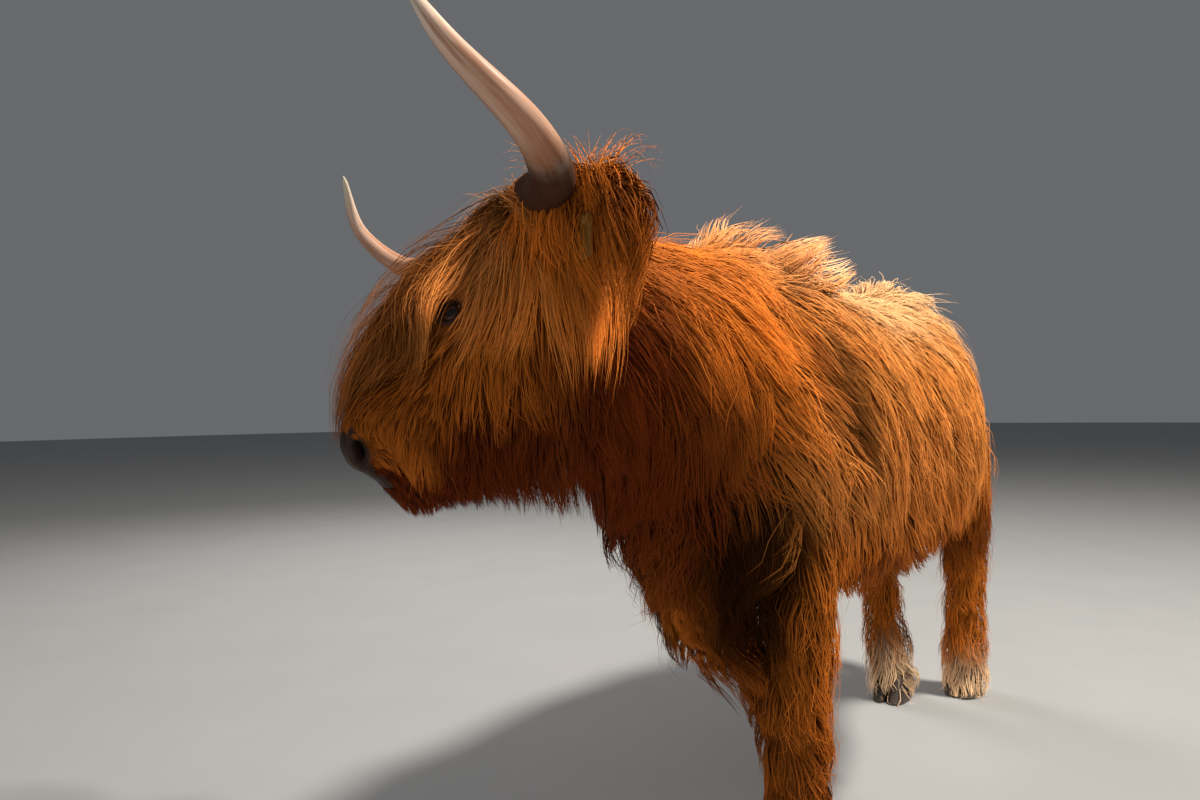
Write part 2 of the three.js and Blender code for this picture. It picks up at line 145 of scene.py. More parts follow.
class Field:
    """Values on a grid, read anywhere between its points."""

    def __init__(self, values, pitch):
        self.pitch = pitch
        self.values = values if values.ndim == 4 else values[..., None]

    def at(self, points):
        size = np.array(self.values.shape[:3])
        place = np.clip((points - GRID_LOW) / self.pitch, 0, size - 1.001)
        cell = place.astype(int)
        share = place - cell
        total = 0
        for corner in np.ndindex(2, 2, 2):
            weight = np.prod(np.where(corner, share, 1 - share), axis=1)
            i, j, k = (cell + corner).T
            total = total + self.values[i, j, k] * weight[:, None]
        return total


class Distance(Field):
    """Distance to a closed surface, less than 0 inside, with the direction straight away from it."""

    def __init__(self, values, pitch):
        slopes = np.stack(np.gradient(values, pitch), -1)
        super().__init__(np.concatenate((values[..., None], slopes), -1).astype(np.float32), pitch)

    def read(self, points):
        found = self.at(points)
        return found[:, 0], unit(found[:, 1:])


def triangles_of(nodes):
    """Corners and triangles of several solids as one list."""
    corners, triangles, count = [], [], 0
    for node in nodes:
        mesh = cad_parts[node].data
        mesh.calc_loop_triangles()
        points = np.zeros(len(mesh.vertices) * 3, np.float32)
        mesh.vertices.foreach_get("co", points)
        faces = np.zeros(len(mesh.loop_triangles) * 3, np.int32)
        mesh.loop_triangles.foreach_get("vertices", faces)
        corners.append(points.reshape(-1, 3))
        triangles.append(faces.reshape(-1, 3) + count)
        count += len(mesh.vertices)
    return np.concatenate(corners), np.concatenate(triangles)


def grid_shape(pitch):
    """How many points the grid has each way."""
    return np.rint((GRID_HIGH - GRID_LOW) / pitch).astype(int) + 1


def grid_start(pitch):
    return tuple(int(i) for i in np.rint(GRID_LOW / pitch))


def grid_points(pitch, kind=float):
    """Every point of the grid, one to a row."""
    steps = np.stack(np.meshgrid(*[np.arange(n) for n in grid_shape(pitch)], indexing="ij"), -1)
    return steps.reshape(-1, 3).astype(kind) * pitch + GRID_LOW.astype(kind)


def distances(points, pitch, band, **faces):
    """Distance on the whole grid to a closed mesh of `triangles`, `quads` or both."""
    shapes = {kind: found.astype(np.uint32) for kind, found in faces.items() if len(found)}
    grid = openvdb.FloatGrid.createLevelSetFromPolygons(
        points.astype(np.float32), transform=openvdb.createLinearTransform(voxelSize=pitch),
        halfWidth=band, **shapes)
    values = np.zeros(grid_shape(pitch), np.float32)
    grid.copyToArray(values, ijk=grid_start(pitch))
    return values


def solids_distance(nodes, pitch=VOXEL, band=BAND):
    """Distance on the whole grid to the nearest of several solids."""
    points, triangles = triangles_of(nodes)
    return distances(points, pitch, band, triangles=triangles)


def surface(values, level):
    """Points, triangles and quads of the surface where the values pass through `level`."""
    grid = openvdb.FloatGrid()
    grid.transform = openvdb.createLinearTransform(voxelSize=VOXEL)
    grid.background = float(values.max())
    grid.copyFromArray(values.astype(np.float32), ijk=grid_start(VOXEL))
    return grid.convertToPolygons(isovalue=level)


def soften(values, passes=1):
    """Each value eased towards its neighbours on the grid."""
    for _ in range(passes):
        for axis in range(3):
            values = (np.roll(values, 1, axis) + 2 * values + np.roll(values, -1, axis)) / 4
    return values


CLOSING = 0.002  # a cut between solids closes if it is less than twice this wide
ROUGH_BAND = 3  # the same as BAND, where only the surface matters


def outline_distance(nodes):
    """Distance to the outer shell of several solids that stand side by side, their thin cuts closed."""
    points, triangles, quads = surface(solids_distance(nodes, VOXEL, ROUGH_BAND), CLOSING)
    return distances(points, VOXEL, BAND, triangles=triangles, quads=quads) + CLOSING


# ---------------------------------------------------------------- how the coat lies
LEGS = [f"{end}leg_{side}_{part}" for end in ("fore", "hind") for side in ("left", "right")
        for part in ("upper", "lower")]
FLESH = ["trunk", "neck", "head", "muzzle", "lower_jaw", "brisket", "tail", *LEGS]
SHAGGY = ["forelock", "tail_switch", "ear_left", "ear_right"]

# For each part: room between skin and outline, length of its locks, how limp they hang (0 to 1),
# how far they wave from side to side, and how much their ends curl.
COAT = {
    "trunk": (0.036, 0.155, 0.25, 0.0032, 0.12),
    "neck": (0.040, 0.185, 0.45, 0.0042, 0.18),
    "head": (0.019, 0.065, 0.40, 0.0012, 0.05),
    "muzzle": (0.006, 0.018, 0.20, 0.0004, 0.0),
    "lower_jaw": (0.022, 0.110, 0.65, 0.0030, 0.3),
    "brisket": (0.050, 0.180, 0.80, 0.0090, 0.9),
    "tail": (0.018, 0.110, 0.60, 0.0040, 0.1),
    "foreleg_upper": (0.026, 0.140, 0.60, 0.0110, 0.55),
    "foreleg_lower": (0.022, 0.120, 0.65, 0.0105, 0.50),
    "hindleg_upper": (0.032, 0.130, 0.55, 0.0090, 0.40),
    "hindleg_lower": (0.028, 0.115, 0.65, 0.0090, 0.40),
}

HOOVES = [f"{end}hoof_{side}" for end in ("fore", "hind") for side in ("left", "right")]
HOOF_HAIR, TAG_HAIR, HORN_HAIR = 0.014, 0.010, 0.012  # how far hair may stand off each of them
BROW_REACH = 0.050  # how far from an eye's middle hair may hang over it
HORN_BASE, HORN_TIP = 0.038, 0.003  # radius at each end of a horn
HORN_HAIRED = (0.02, 0.04, -0.008), (0.032, 0.125, 0.006)  # between these points hair lies on it

# The skin of a pastern runs from a heel in the hoof up to the middle of the leg at the fetlock: its
# radius, how far the fetlock is above the heel, its blend, and half the height that counts as fetlock.
PASTERN_RADIUS, PASTERN_RISE, PASTERN_BLEND, FETLOCK_BAND = 0.033, 0.10, 0.02, 0.045
HEEL = np.array([0.008, 0, 0.020])  # from the middle of the hoof
# The bone round an eye: its radius, how far its middle lies behind the eye's, and its blend.
ORBIT_RADIUS, ORBIT_SINK, ORBIT_BLEND = 0.034, 0.013, 0.030


def eye_centre(side):
    return on_head(EYE_ALONG, EYE_ASIDE, EYE_OUT, side)


def nearest_eye(points):
    """Distance from the middle of the nearer eye."""
    return np.min([np.linalg.norm(points - eye_centre(side), axis=1) for side in (-1, 1)], axis=0)


def eye_axes(side):
    """Directions of an eye: towards its front corner, towards its upper lid, and out of it."""
    gaze = unit(0.90 * side * ASIDE + 0.38 * OUT + 0.12 * ALONG)
    front = cos(EYE_SLANT) * ALONG + sin(EYE_SLANT) * OUT
    front = unit(front - gaze * (front @ gaze))
    upper = np.cross(gaze, front) * side
    return front, upper * np.sign(upper @ OUT), gaze


# Hollows in the coat, on both sides: under the hem of each shoulder, as a middle and half sizes.
ARMPIT, ARMPIT_SIZE = (-0.390, 0.185, 0.610), (0.085, 0.095, 0.120)

# The parting between shoulder and flank hair: places on the side, from the top down, and its half width.
PARTING = [(-0.330, 0.232, 1.000), (-0.305, 0.272, 0.895), (-0.235, 0.296, 0.775)]
PARTING_HALF = 0.036

# The painted shade of each hollow: its middle, how far it reaches, and how much longer it is upright.
RECESS, RECESS_REACH, RECESS_SQUASH = (-0.335, 0.125, 0.622), 0.150, 0.60


def hollows(places):
    """How deep each place is in the coat's hollows and partings, less than 0 outside them."""
    folded = places.copy()
    folded[:, 1] = np.abs(folded[:, 1] - SPINE)
    size = np.array(ARMPIT_SIZE, np.float32)
    deep = (1 - np.linalg.norm((folded - np.array(ARMPIT, np.float32)) / size, axis=1)) * size.min()
    for start, end in zip(PARTING[:-1], PARTING[1:]):
        deep = np.maximum(deep, PARTING_HALF - from_line(folded, start, end))
    return deep


def from_line(places, start, end):
    """How far each place is from the line between two points."""
    start, end = np.asarray(start, np.float32), np.asarray(end, np.float32)
    share = np.clip((places - start) @ (end - start) / np.sum((end - start) ** 2), 0, 1)[..., None]
    return np.linalg.norm(places - start - share * (end - start), axis=-1)


def horn_root(places):
    """Distance from the first part of the nearer horn, where hair lies on it."""
    lines = [from_line(places, *[on_head(*end, side) for end in HORN_HAIRED]) for side in (-1, 1)]
    return np.minimum(*lines) - HORN_BASE


def blend_low(one, other, reach):
    """The lower of two fields, eased together where they are within `reach`."""
    share = np.clip(1 - np.abs(one - other) / reach, 0, 1)
    return np.minimum(one, other) - share**2 * reach / 4


def coat_row(node):
    parts = node.split("_")
    kind = f"{parts[0]}_{parts[2]}" if node in LEGS else node
    return COAT[kind]


FAR_DEPTH = 0.03  # depth of the coat far from the skin, where it makes no difference
COARSE_BAND = 8  # the same as BAND, on the coarse grid


class Coat:
    """The body's fields: which part is nearest, the room for hair, and the way hair lies."""

    def __init__(self):
        self.labels = np.argmin([solids_distance([node], COARSE, COARSE_BAND) for node in FLESH], axis=0)
        traits = np.array([coat_row(node) for node in FLESH])[self.labels]
        combs = comb_at(grid_points(COARSE), self.labels.ravel()).reshape(*self.labels.shape, 3)
        self.traits = Field(soften(np.concatenate((traits, combs), -1), 2).astype(np.float32), COARSE)

        flesh = outline_distance(FLESH)
        places = grid_points(VOXEL, np.float32)

        def on_grid(values):
            return values.reshape(flesh.shape).astype(np.float32)

        self.hooves = solids_distance(HOOVES)
        self.eyes = on_grid(nearest_eye(places))
        self.horns = on_grid(horn_root(places))
        carved = on_grid(hollows(places))
        shaggy = np.min([
            outline_distance(FLESH + SHAGGY), self.hooves - HOOF_HAIR, self.horns - HORN_HAIR,
            solids_distance(["ear_tag"]) - TAG_HAIR, self.eyes - BROW_REACH], axis=0)
        self.outline = Distance(soften(np.maximum(shaggy, carved)), VOXEL)

        close = np.abs(flesh.ravel()) < BAND * VOXEL * 0.99
        depth = np.full(flesh.size, FAR_DEPTH, np.float32)
        depth[close] = self.traits.at(places[close])[:, 0] * depth_share(places[close])
        self.bare = soften(np.maximum(flesh, carved) + depth.reshape(flesh.shape), 2)
        for side in (-1, 1):
            middle = eye_centre(side) - ORBIT_SINK * eye_axes(side)[2]
            orbit = np.linalg.norm(places - middle, axis=1) - ORBIT_RADIUS
            self.bare = blend_low(self.bare, on_grid(orbit), ORBIT_BLEND)
        for node in HOOVES:
            heel = centre_of(node) + HEEL
            shin = triangles_of([node.replace("hoof", "leg") + "_lower"])[0]
            fetlock = shin[np.abs(shin[:, 2] - heel[2] - PASTERN_RISE) < FETLOCK_BAND].mean(0)
            pastern = from_line(places, heel, fetlock) - PASTERN_RADIUS
            self.bare = blend_low(self.bare, on_grid(pastern), PASTERN_BLEND)

    def label_at(self, points):
        cell = np.rint((points - GRID_LOW) / COARSE).astype(int)
        i, j, k = np.clip(cell, 0, np.array(self.labels.shape) - 1).T
        return self.labels[i, j, k]


def depth_share(points):
    """The room for hair over the head's finer places, as a share of its part's own."""
    along, aside, _ = head_place(points).T
    eyes = ease(0.03, 0.075, nearest_eye(points)) * 0.8 + 0.2
    nose = ease(0.44, 0.36, along)
    return np.where(np.abs(aside) < 0.2, eyes * (0.35 + 0.65 * nose), 1)


def comb_at(points, labels):
    """The direction that hair lies at each point, by the part that is nearest."""
    x, y, z = points.T
    combs = np.tile(DOWN, (len(points), 1))

    def lay(nodes, *way):
        way = way[0] if len(way) == 1 else np.stack(np.broadcast_arrays(*way, z)[:3], -1)
        chosen = np.isin(labels, [FLESH.index(name) for name in nodes])
        combs[chosen] = unit(way)[chosen]

    outward = np.tanh((y - SPINE) / 0.06)
    sweep = (0.42 + 0.6 * ease(0.62, 1.08, z)) * (1 - 0.75 * ease(0.55, 0.85, x))
    top = ease(0.98, 1.12, z)
    lay(["trunk"], sweep + 0.3 * top, outward * (0.12 + 0.35 * top), -1 + 0.75 * top)
    lay(["neck"], 0.38 + 0.25 * ease(0.9, 1.15, z), outward * 0.2, -0.9)
    lay(["brisket"], 0.12, outward * 0.1, -1)
    lay(["tail"], 0, 0, -1)
    lay(LEGS, 0.12, 0, -1)

    _, aside, out = head_place(points).T
    front = ease(-0.10, 0.0, out)[:, None]
    cheek = unit(DOWN + 0.25 * np.array([1, 0, 0]))
    splay = ASIDE[None] * ((np.tanh(aside / 0.05) * 0.35)[:, None] * front)
    face = unit(ALONG[None] * front + cheek[None] * (1 - front) + splay)
    lips = unit(-0.75 * ALONG - 0.65 * OUT)[None] + ASIDE[None] * (np.tanh(aside / 0.03) * 0.5)[:, None]
    lay(["head"], face)
    lay(["muzzle"], lips)
    lay(["lower_jaw"], face * 0.6 + lips * 0.4)
    return combs


# ---------------------------------------------------------------- meshes
def mesh_of(name, points, faces):
    """A smooth mesh object from points and faces, all of one size."""
    mesh = bpy.data.meshes.new(name)
    faces = np.asarray(faces, np.int32)
    mesh.vertices.add(len(points))
    mesh.vertices.foreach_set("co", np.asarray(points, np.float32).ravel())
    mesh.loops.add(faces.size)
    mesh.loops.foreach_set("vertex_index", faces.ravel())
    mesh.polygons.add(len(faces))
    mesh.polygons.foreach_set("loop_start", np.arange(len(faces), dtype=np.int32) * faces.shape[1])
    mesh.update(calc_edges=True)
    mesh.shade_smooth()
    made = bpy.data.objects.new(name, mesh)
    bpy.context.scene.collection.objects.link(made)
    return made


@contextmanager
def edited(mesh):
    """A mesh open for editing, and written back at the end."""
    work = bmesh.new()
    work.from_mesh(mesh)
    yield work
    work.to_mesh(mesh)
    work.free()


def join(pieces):
    """Several objects as one, under the name of the first."""
    with bpy.context.temp_override(active_object=pieces[0], selected_editable_objects=pieces):
        bpy.ops.object.join()
    return pieces[0]


def areas_of(corners):
    """The area of each triangle, given by its corners."""
    cross = np.cross(corners[:, 1] - corners[:, 0], corners[:, 2] - corners[:, 0])
    return np.linalg.norm(cross, axis=1) / 2


def add_attribute(mesh, name, values):
    """One number or one vector kept at each point of a mesh."""
    values = np.asarray(values, np.float32)
    kind, field = ("FLOAT", "value") if values.ndim == 1 else ("FLOAT_VECTOR", "vector")
    mesh.attributes.new(name, kind, "POINT").data.foreach_set(field, values.ravel())


def points_of(mesh):
    points = np.zeros(len(mesh.vertices) * 3, np.float32)
    mesh.vertices.foreach_get("co", points)
    return points.reshape(-1, 3).astype(float)


def set_points(mesh, points):
    mesh.vertices.foreach_set("co", np.asarray(points, np.float32).ravel())
    mesh.update()


def rings_mesh(name, rings):
    """A closed skin over rings of points, with a fan at each end."""
    count, sides = rings.shape[:2]
    points = np.concatenate((rings.reshape(-1, 3), rings[0].mean(0)[None], rings[-1].mean(0)[None]))
    k = np.arange(sides)
    after = (k + 1) % sides
    faces = []
    for i in range(count - 1):
        a, b = i * sides, (i + 1) * sides
        faces += list(zip(a + k, a + after, b + after))
        faces += list(zip(a + k, b + after, b + k))
    start, end = len(points) - 2, len(points) - 1
    faces += [(start, j, i) for i, j in zip(k, after)]
    last = (count - 1) * sides
    faces += [(end, last + i, last + j) for i, j in zip(k, after)]
    return mesh_of(name, points, faces)


# ---------------------------------------------------------------- locks of hair
LAYER_LOW, LAYER_RISE = 0.25, 0.6  # how deep in the coat the lowest locks lie, and how few they are


class Locks:
    """Roots on the skin and the paths of the locks that grow from them."""

    def __init__(self, roots, normals, area, seed):
        self.roots = roots
        self.normals = normals
        self.area = area
        self.random = np.random.default_rng(seed)
        self.count = len(roots)
        self.layer = LAYER_LOW + (1 - LAYER_LOW) * self.random.uniform(0, 1, self.count) ** LAYER_RISE
        self.chance = self.random.uniform(0, 1, self.count)
        self.loose = np.zeros(self.count, bool)

    def keep(self, kept):
        """Only the locks marked as kept."""
        for name in ("roots", "normals", "paths", "chance", "loose", "layer"):
            setattr(self, name, getattr(self, name)[kept])
        self.count = len(self.roots)

    def gather(self, spacing):
        """For each lock, the lock at the middle of its clump, the clumps being about `spacing` apart."""
        every = max(2, int(spacing**2 / (self.area / self.count)))
        centres = np.arange(0, self.count, every)
        tree = KDTree(len(centres))
        for place, centre in enumerate(centres):
            tree.insert(self.roots[centre], place)
        tree.balance()
        return centres[[tree.find(root)[1] for root in self.roots]]


def scatter(skin, wanted, seed, density):
    """Roots spread over the skin, as thickly as `density` says of each of its triangles."""
    random = np.random.default_rng(seed)
    total = np.cumsum(skin["areas"] * density)
    picks = np.searchsorted(total, (np.arange(wanted) + random.uniform(0, 1, wanted)) * total[-1] / wanted)
    random.shuffle(picks)
    a, b = random.uniform(0, 1, (2, wanted, 1))
    a, b = np.where(a + b > 1, 1 - a, a), np.where(a + b > 1, 1 - b, b)
    picks = np.minimum(picks, len(total) - 1)
    corners = skin["corners"][picks]
    roots = corners[:, 0] + a * (corners[:, 1] - corners[:, 0]) + b * (corners[:, 2] - corners[:, 0])
    return Locks(roots, skin["normals"][picks], (skin["areas"] * (density > 0)).sum(), seed + 1)


SUBSTEPS = 3  # steps of growth between two rings of a lock
GROUND_GAP = 0.004  # how far the lowest hair stays above the ground
LEAST_ROOM = 0.002  # room for hair where skin and outline meet
SKIN_GAP = 0.0015  # how far a lock stays above the skin
GRIP = 0.45  # how firmly a lock keeps to its layer of the coat
STANDING_SHARE = 0.45  # the share of clumps that stand, where clumps may
CURL_RADIUS, CURL_TURNS = 0.016, 1.15
WAVE_SCALE, TURN_SCALE = 0.12, 0.28  # how far apart on the skin locks wave and turn differently


def grow(locks, fields, rings, length, droop, wave, curl, comb=None, clump=0.030, pull=0.6, rise=0.35,
         lift=0.0, waves=1.6, slip=0.002, ragged=0.014, loose=0.06, stand=0.0, bunch=3.0, stray=0.35):
    """Paths for the locks: along the lie of the coat, up through the coat's room and under gravity.

    Locks near each other join in clumps that end together, and clumps in wider bunches. A `loose`
    share of the locks stays out of its clump, and `stand` lifts whole clumps off the coat.
    """
    random, count = locks.random, locks.count
    centres, bunches = locks.gather(clump), locks.gather(clump * bunch)
    comb = comb or (lambda points: fields.traits.at(points)[:, 5:])
    clump_chance = random.uniform(0, 1, count)[centres]
    bunch_turn = random.normal(0, 0.11, count)[bunches]
    locks.loose = random.uniform(0, 1, count) < loose
    locks.chance = 0.45 * locks.chance + 0.55 * random.uniform(0, 1, count)[centres]
    locks.chance = np.where(locks.loose, 0.9, locks.chance)
    standing = stand * (random.uniform(0, 1, count)[centres] < STANDING_SHARE)
    length = length * random.uniform(0.80, 1.10, count) * (0.80 + 0.35 * clump_chance)
    bunch_chance = random.uniform(0, 1, count)[bunches]
    layer = locks.layer * (0.60 + 0.30 * clump_chance + 0.18 * bunch_chance)
    layer = np.where(locks.loose, random.uniform(1.0, 1.3, count), layer) + standing * 0.8
    turn = ripple(locks.roots, TURN_SCALE, 11) * 0.28 + bunch_turn + random.normal(0, 0.05, count)
    turn = turn + np.where(locks.loose, random.normal(0, stray, count), 0)

    at = locks.roots.copy()
    way = comb(at)
    way = unit(way - locks.normals * (way * locks.normals).sum(1, keepdims=True) * 0.9)
    heading = unit(way + locks.normals * (0.35 + 0.9 * layer + lift + standing)[:, None])
    paths = [at.copy()]
    stages = (rings - 1) * SUBSTEPS
    step = length / (rings - 1) / SUBSTEPS
    upright = standing[:, None]
    droop = np.broadcast_to(droop, count)[:, None] * (1 - 0.9 * upright.clip(0, 1))
    for stage in range(1, stages + 1):
        t = stage / stages
        away = fields.skin.read(at)[1]
        pulled = unit(comb(at) * (1 - droop) + DOWN * droop)
        pulled = pulled + np.cross(away, pulled) * turn[:, None] + away * (upright * 0.8 * (1 - 0.6 * t))
        hanging = np.clip(-away[:, 2:] * 1.6, 0, 1)
        along_skin = pulled - away * (pulled * away).sum(1, keepdims=True) * (1 - hanging)
        along_skin = along_skin + away * (upright * 0.5)
        heading = unit(heading * 0.55 + unit(along_skin) * 0.45)
        at = at + heading * step[:, None]
        height, away = fields.skin.read(at)
        room = np.maximum(height - fields.outline.read(at)[0], LEAST_ROOM)
        target = layer * min(1, t / rise) ** 0.8 * room
        grip = GRIP * (1 - hanging[:, 0]) * (1 - standing.clip(0, 1))
        at = at + away * ((target - height) * grip)[:, None]
        height, away = fields.skin.read(at)
        floor = SKIN_GAP + 0.25 * target * (t > 0.2)
        at = at + away * np.maximum(floor - height, 0)[:, None]
        if stage % SUBSTEPS == 0:
            paths.append(at.copy())

    slips = slip + ragged * (2 * clump_chance - 1.25) + random.normal(0, 0.002, count)
    slips = slips + np.where(locks.loose, 0.008, 0) + 0.030 * standing
    paths = trim(np.stack(paths, 1), fields.outline, slips[:, None])
    t = np.linspace(0, 1, rings)[None, :, None]
    side, over = lock_sides(paths, locks.normals)
    phase = 3.2 * ripple(locks.roots, WAVE_SCALE, 23) + random.normal(0, 0.5, count)[centres]
    phase = (phase + random.normal(0, 0.3, count))[:, None, None]
    size = (wave * random.uniform(0.5, 1.4, count))[:, None, None]
    paths = paths + side * (np.sin(tau * waves * t + phase) - np.sin(phase)) * size * t**0.7
    tight = (curl * random.uniform(0, 1, count)[centres] ** 1.2)[:, None, None]
    spin = tau * CURL_TURNS * t**1.6 + phase
    ring = CURL_RADIUS * tight * t**1.4
    paths = paths + side * (np.cos(spin) - np.cos(phase)) * ring
    paths = paths + over * (np.sin(spin) - np.sin(phase)) * ring
    hold = np.where(locks.loose, 0.1, random.uniform(0.55, 1, count))[:, None, None]
    paths = paths + (paths[centres] - paths) * (pull * hold * t**1.3)
    paths = paths + (paths[bunches] - paths) * (0.35 * hold * t**2)
    paths[..., 2] = np.maximum(paths[..., 2], FLOOR + GROUND_GAP)
    locks.paths = paths
    open_windows(locks)


# Gaps in the hair before the eyes and the ear tag: their depth and half sizes, and the share of locks
# that still cross them.
WINDOW_DEPTH = 0.12
EYE_WINDOW, EYE_CROSSED = (0.021, 0.0165), 0.02
TAG_WINDOW, TAG_CROSSED = (0.018, 0.034), 0.15
TAG_WAY = unit(np.array([-0.75, -0.63, -0.20]))
LEAST_LENGTH = 0.30  # the share of a lock that must be left for it to stay


def windows():
    """Each gap: its middle, the ways across, up and out of it, its half sizes and the share of locks left."""
    for side in (-1, 1):
        front, upper, gaze = eye_axes(side)
        yield eye_centre(side), front, upper, unit(gaze - upper * 0.16), EYE_WINDOW, EYE_CROSSED
    across = unit(np.cross(TAG_WAY, DOWN))
    yield centre_of("ear_tag"), across, np.cross(across, TAG_WAY), TAG_WAY, TAG_WINDOW, TAG_CROSSED


def along_paths(paths, place):
    """Points on each path at places counted in rings from its root."""
    low = np.minimum(place.astype(int), paths.shape[1] - 2)
    share = (place - low)[..., None]
    rows = np.arange(len(paths))[:, None]
    return paths[rows, low] * (1 - share) + paths[rows, low + 1] * share


def shorten(paths, end):
    """Each path cut at the share `end` of its length, and spaced evenly again."""
    rings = paths.shape[1]
    return along_paths(paths, np.arange(rings) / (rings - 1) * end[:, None] * (rings - 1))


def open_windows(locks):
    """Locks that cross a gap end above it, all but a few."""
    count, rings = locks.paths.shape[:2]
    fine = np.linspace(0, rings - 1, (rings - 1) * 6 + 1)
    points = along_paths(locks.paths, fine[None])
    hidden = np.zeros(points.shape[:2], bool)
    for middle, across, up, way, half, share_left in windows():
        offset = points - middle
        depth = offset @ way
        size = 1 + 0.25 * locks.random.normal(0, 1, (count, 1))
        reach = np.hypot(offset @ across / half[0], offset @ up / half[1]) * size
        crossing = locks.random.uniform(0, 1, (count, 1)) > share_left
        hidden |= (depth > -0.01) & (depth < WINDOW_DEPTH) & (reach < 1) & crossing
    last = np.where(hidden.any(1), fine[np.maximum(hidden.argmax(1) - 1, 0)], rings - 1)
    end = last / (rings - 1)
    locks.paths = shorten(locks.paths, end)
    locks.keep(end > LEAST_LENGTH)


def trim(paths, outline, slip):
    """Each path cut where it leaves the outline by more than `slip`, and spaced evenly again."""
    count, rings = paths.shape[:2]
    edge = outline.read(paths.reshape(-1, 3))[0].reshape(count, rings) - slip
    past = edge > 0
    past[:, :2] = False
    first = np.where(past.any(1), past.argmax(1), rings - 1)
    rows = np.arange(count)
    inner, outer = edge[rows, first - 1], edge[rows, first]
    share = np.where(past.any(1), np.clip(-inner / np.maximum(outer - inner, 1e-6), 0, 1), 1)
    return shorten(paths, (first - 1 + share) / (rings - 1))


def lock_sides(paths, normals):
    """Two directions square to each path at each ring: along the skin, and up from it."""
    tangent = unit(np.gradient(paths, axis=1))
    side = unit(np.cross(tangent, normals[:, None]))
    return side, np.cross(side, tangent)


def lock_faces(rings):
    """Triangles of one lock: three sides, closed flat at the root and to a point at the tip."""
    faces = [(0, 1, 2)]
    for ring in range(rings - 2):
        for k in range(3):
            a, b = 3 * ring + k, 3 * ring + (k + 1) % 3
            faces += [(a, b + 3, b), (a, a + 3, b + 3)]
    last = 3 * (rings - 2)
    faces += [(last + k, last + 3, last + (k + 1) % 3) for k in range(3)]
    return np.array(faces)


LOCK_THICK = 0.30  # how thick a lock is, as a share of its width
PATCH = 0.003  # size of a lock's patch on the bake map


def lock_mesh(name, locks, width, unwrap, blend=0.52):
    """All the locks of one coat piece as one mesh, with their marks and their bake map.

    Each lock is shaded partly (`blend`) as the skin under it, so that the coat reads as one soft mass.
    """
    paths = locks.paths
    count, rings = paths.shape[:2]
    t = np.linspace(0, 1, rings)
    twist = locks.random.normal(0, 0.35, (count, 1))
    twist = (twist + 0.4 * (t - 0.3) * locks.random.normal(0, 1, (count, 1)))[..., None]
    side, over = lock_sides(paths, locks.normals)
    side, over = side * np.cos(twist) + over * np.sin(twist), over * np.cos(twist) - side * np.sin(twist)
    wide = width * (1.75 - locks.layer) * locks.random.uniform(0.65, 1.25, count)
    wide = wide * np.where(locks.loose, 0.6, 1)
    profile = (0.55 + 0.45 * np.minimum(1, 3.5 * t)) * (1 - t**1.7) ** 0.9
    half = (wide[:, None] * profile[None] / 2)[..., None]
    ridge = paths + over * half * 2 * LOCK_THICK
    ring = np.stack((paths - side * half, paths + side * half, ridge), 2)[:, :-1]
    points = np.concatenate((ring.reshape(count, -1, 3), paths[:, -1:]), 1)
    each = points.shape[1]
    faces = (lock_faces(rings)[None] + (np.arange(count) * each)[:, None, None]).reshape(-1, 3)
    made = mesh_of(name, points.reshape(-1, 3), faces)

    round_out = unit(np.stack((-side * 0.9 - over * 0.15, side * 0.9 - over * 0.15, over), 2))[:, :-1]
    round_out = np.concatenate((round_out.reshape(count, -1, 3), over[:, -1:]), 1)
    under = np.repeat(locks.normals[:, None], each, 1)
    soft_normals = unit(round_out.reshape(-1, 3) * (1 - blend) + under.reshape(-1, 3) * blend)
    made.data.normals_split_custom_set_from_vertices(soft_normals)

    across = np.append(np.tile([-1.0, 1.0, 0.0], rings - 1), 0.0)
    down = np.append(np.repeat(t[:-1], 3), 1.0)
    marks = np.stack((np.tile(across, count), np.tile(down, count), np.repeat(locks.chance, each)), -1)
    add_attribute(made.data, "lock", marks)
    add_attribute(made.data, "root", np.repeat(locks.roots, each, 0))

    middle = unwrap(locks.roots)
    low, high = middle.min(0), middle.max(0)
    middle = 0.01 + 0.98 * (middle - low) / np.maximum(high - low, 1e-6)
    spread = np.stack((across / 2, down - 0.5), -1) * PATCH
    spot = (middle[:, None] + spread[None]).reshape(-1, 2)
    layer = made.data.uv_layers.new(name="OFBake")
    layer.uv.foreach_set("vector", spot[faces.ravel()].astype(np.float32).ravel())
    return made


def round_axis(start, end, seam):
    """An unwrap of roots round the line from `start` to `end`, opened on the side `seam`."""
    start, end, seam = np.asarray(start, float), np.asarray(end, float), np.asarray(seam, float)
    axis = unit(end - start)
    across = unit(np.cross(axis, seam))
    back = np.cross(across, axis)

    def unwrap(points):
        from_start = points - start
        angle = np.arctan2(from_start @ across, -(from_start @ back))
        return np.stack((angle / tau, from_start @ axis), -1)

    return unwrap


# ---------------------------------------------------------------- materials
HAIR_GLOSS, SKIN_GLOSS, HORN_GLOSS, EYE_GLOSS = 0.03, 0.08, 0.05, 0.3  # how strongly each one reflects
HOLLOW_PAINTED_SHADE = (0.006, 0.004, 0.004, 1)  # painted shade inside nostrils, mouth and eyelids
HORN_BLUSH, HORN_CLEAR = (0.46, 0.19, 0.10, 1), (0.72, 0.62, 0.48, 1)  # below the tip, and the tip
IRIS_DARK, IRIS_LIGHT = (0.020, 0.008, 0.003, 1), (0.075, 0.030, 0.010, 1)
EYE_WHITE, PUPIL = (0.10, 0.055, 0.040, 1), (0.002, 0.0015, 0.002, 1)
DUST = (0.16, 0.12, 0.085, 1)


def new_material(name):
    """A material with its node tree and its shader."""
    made = bpy.data.materials.new(name)
    made.use_nodes = True
    shader = next(found for found in made.node_tree.nodes if found.type == "BSDF_PRINCIPLED")
    return made, made.node_tree, shader


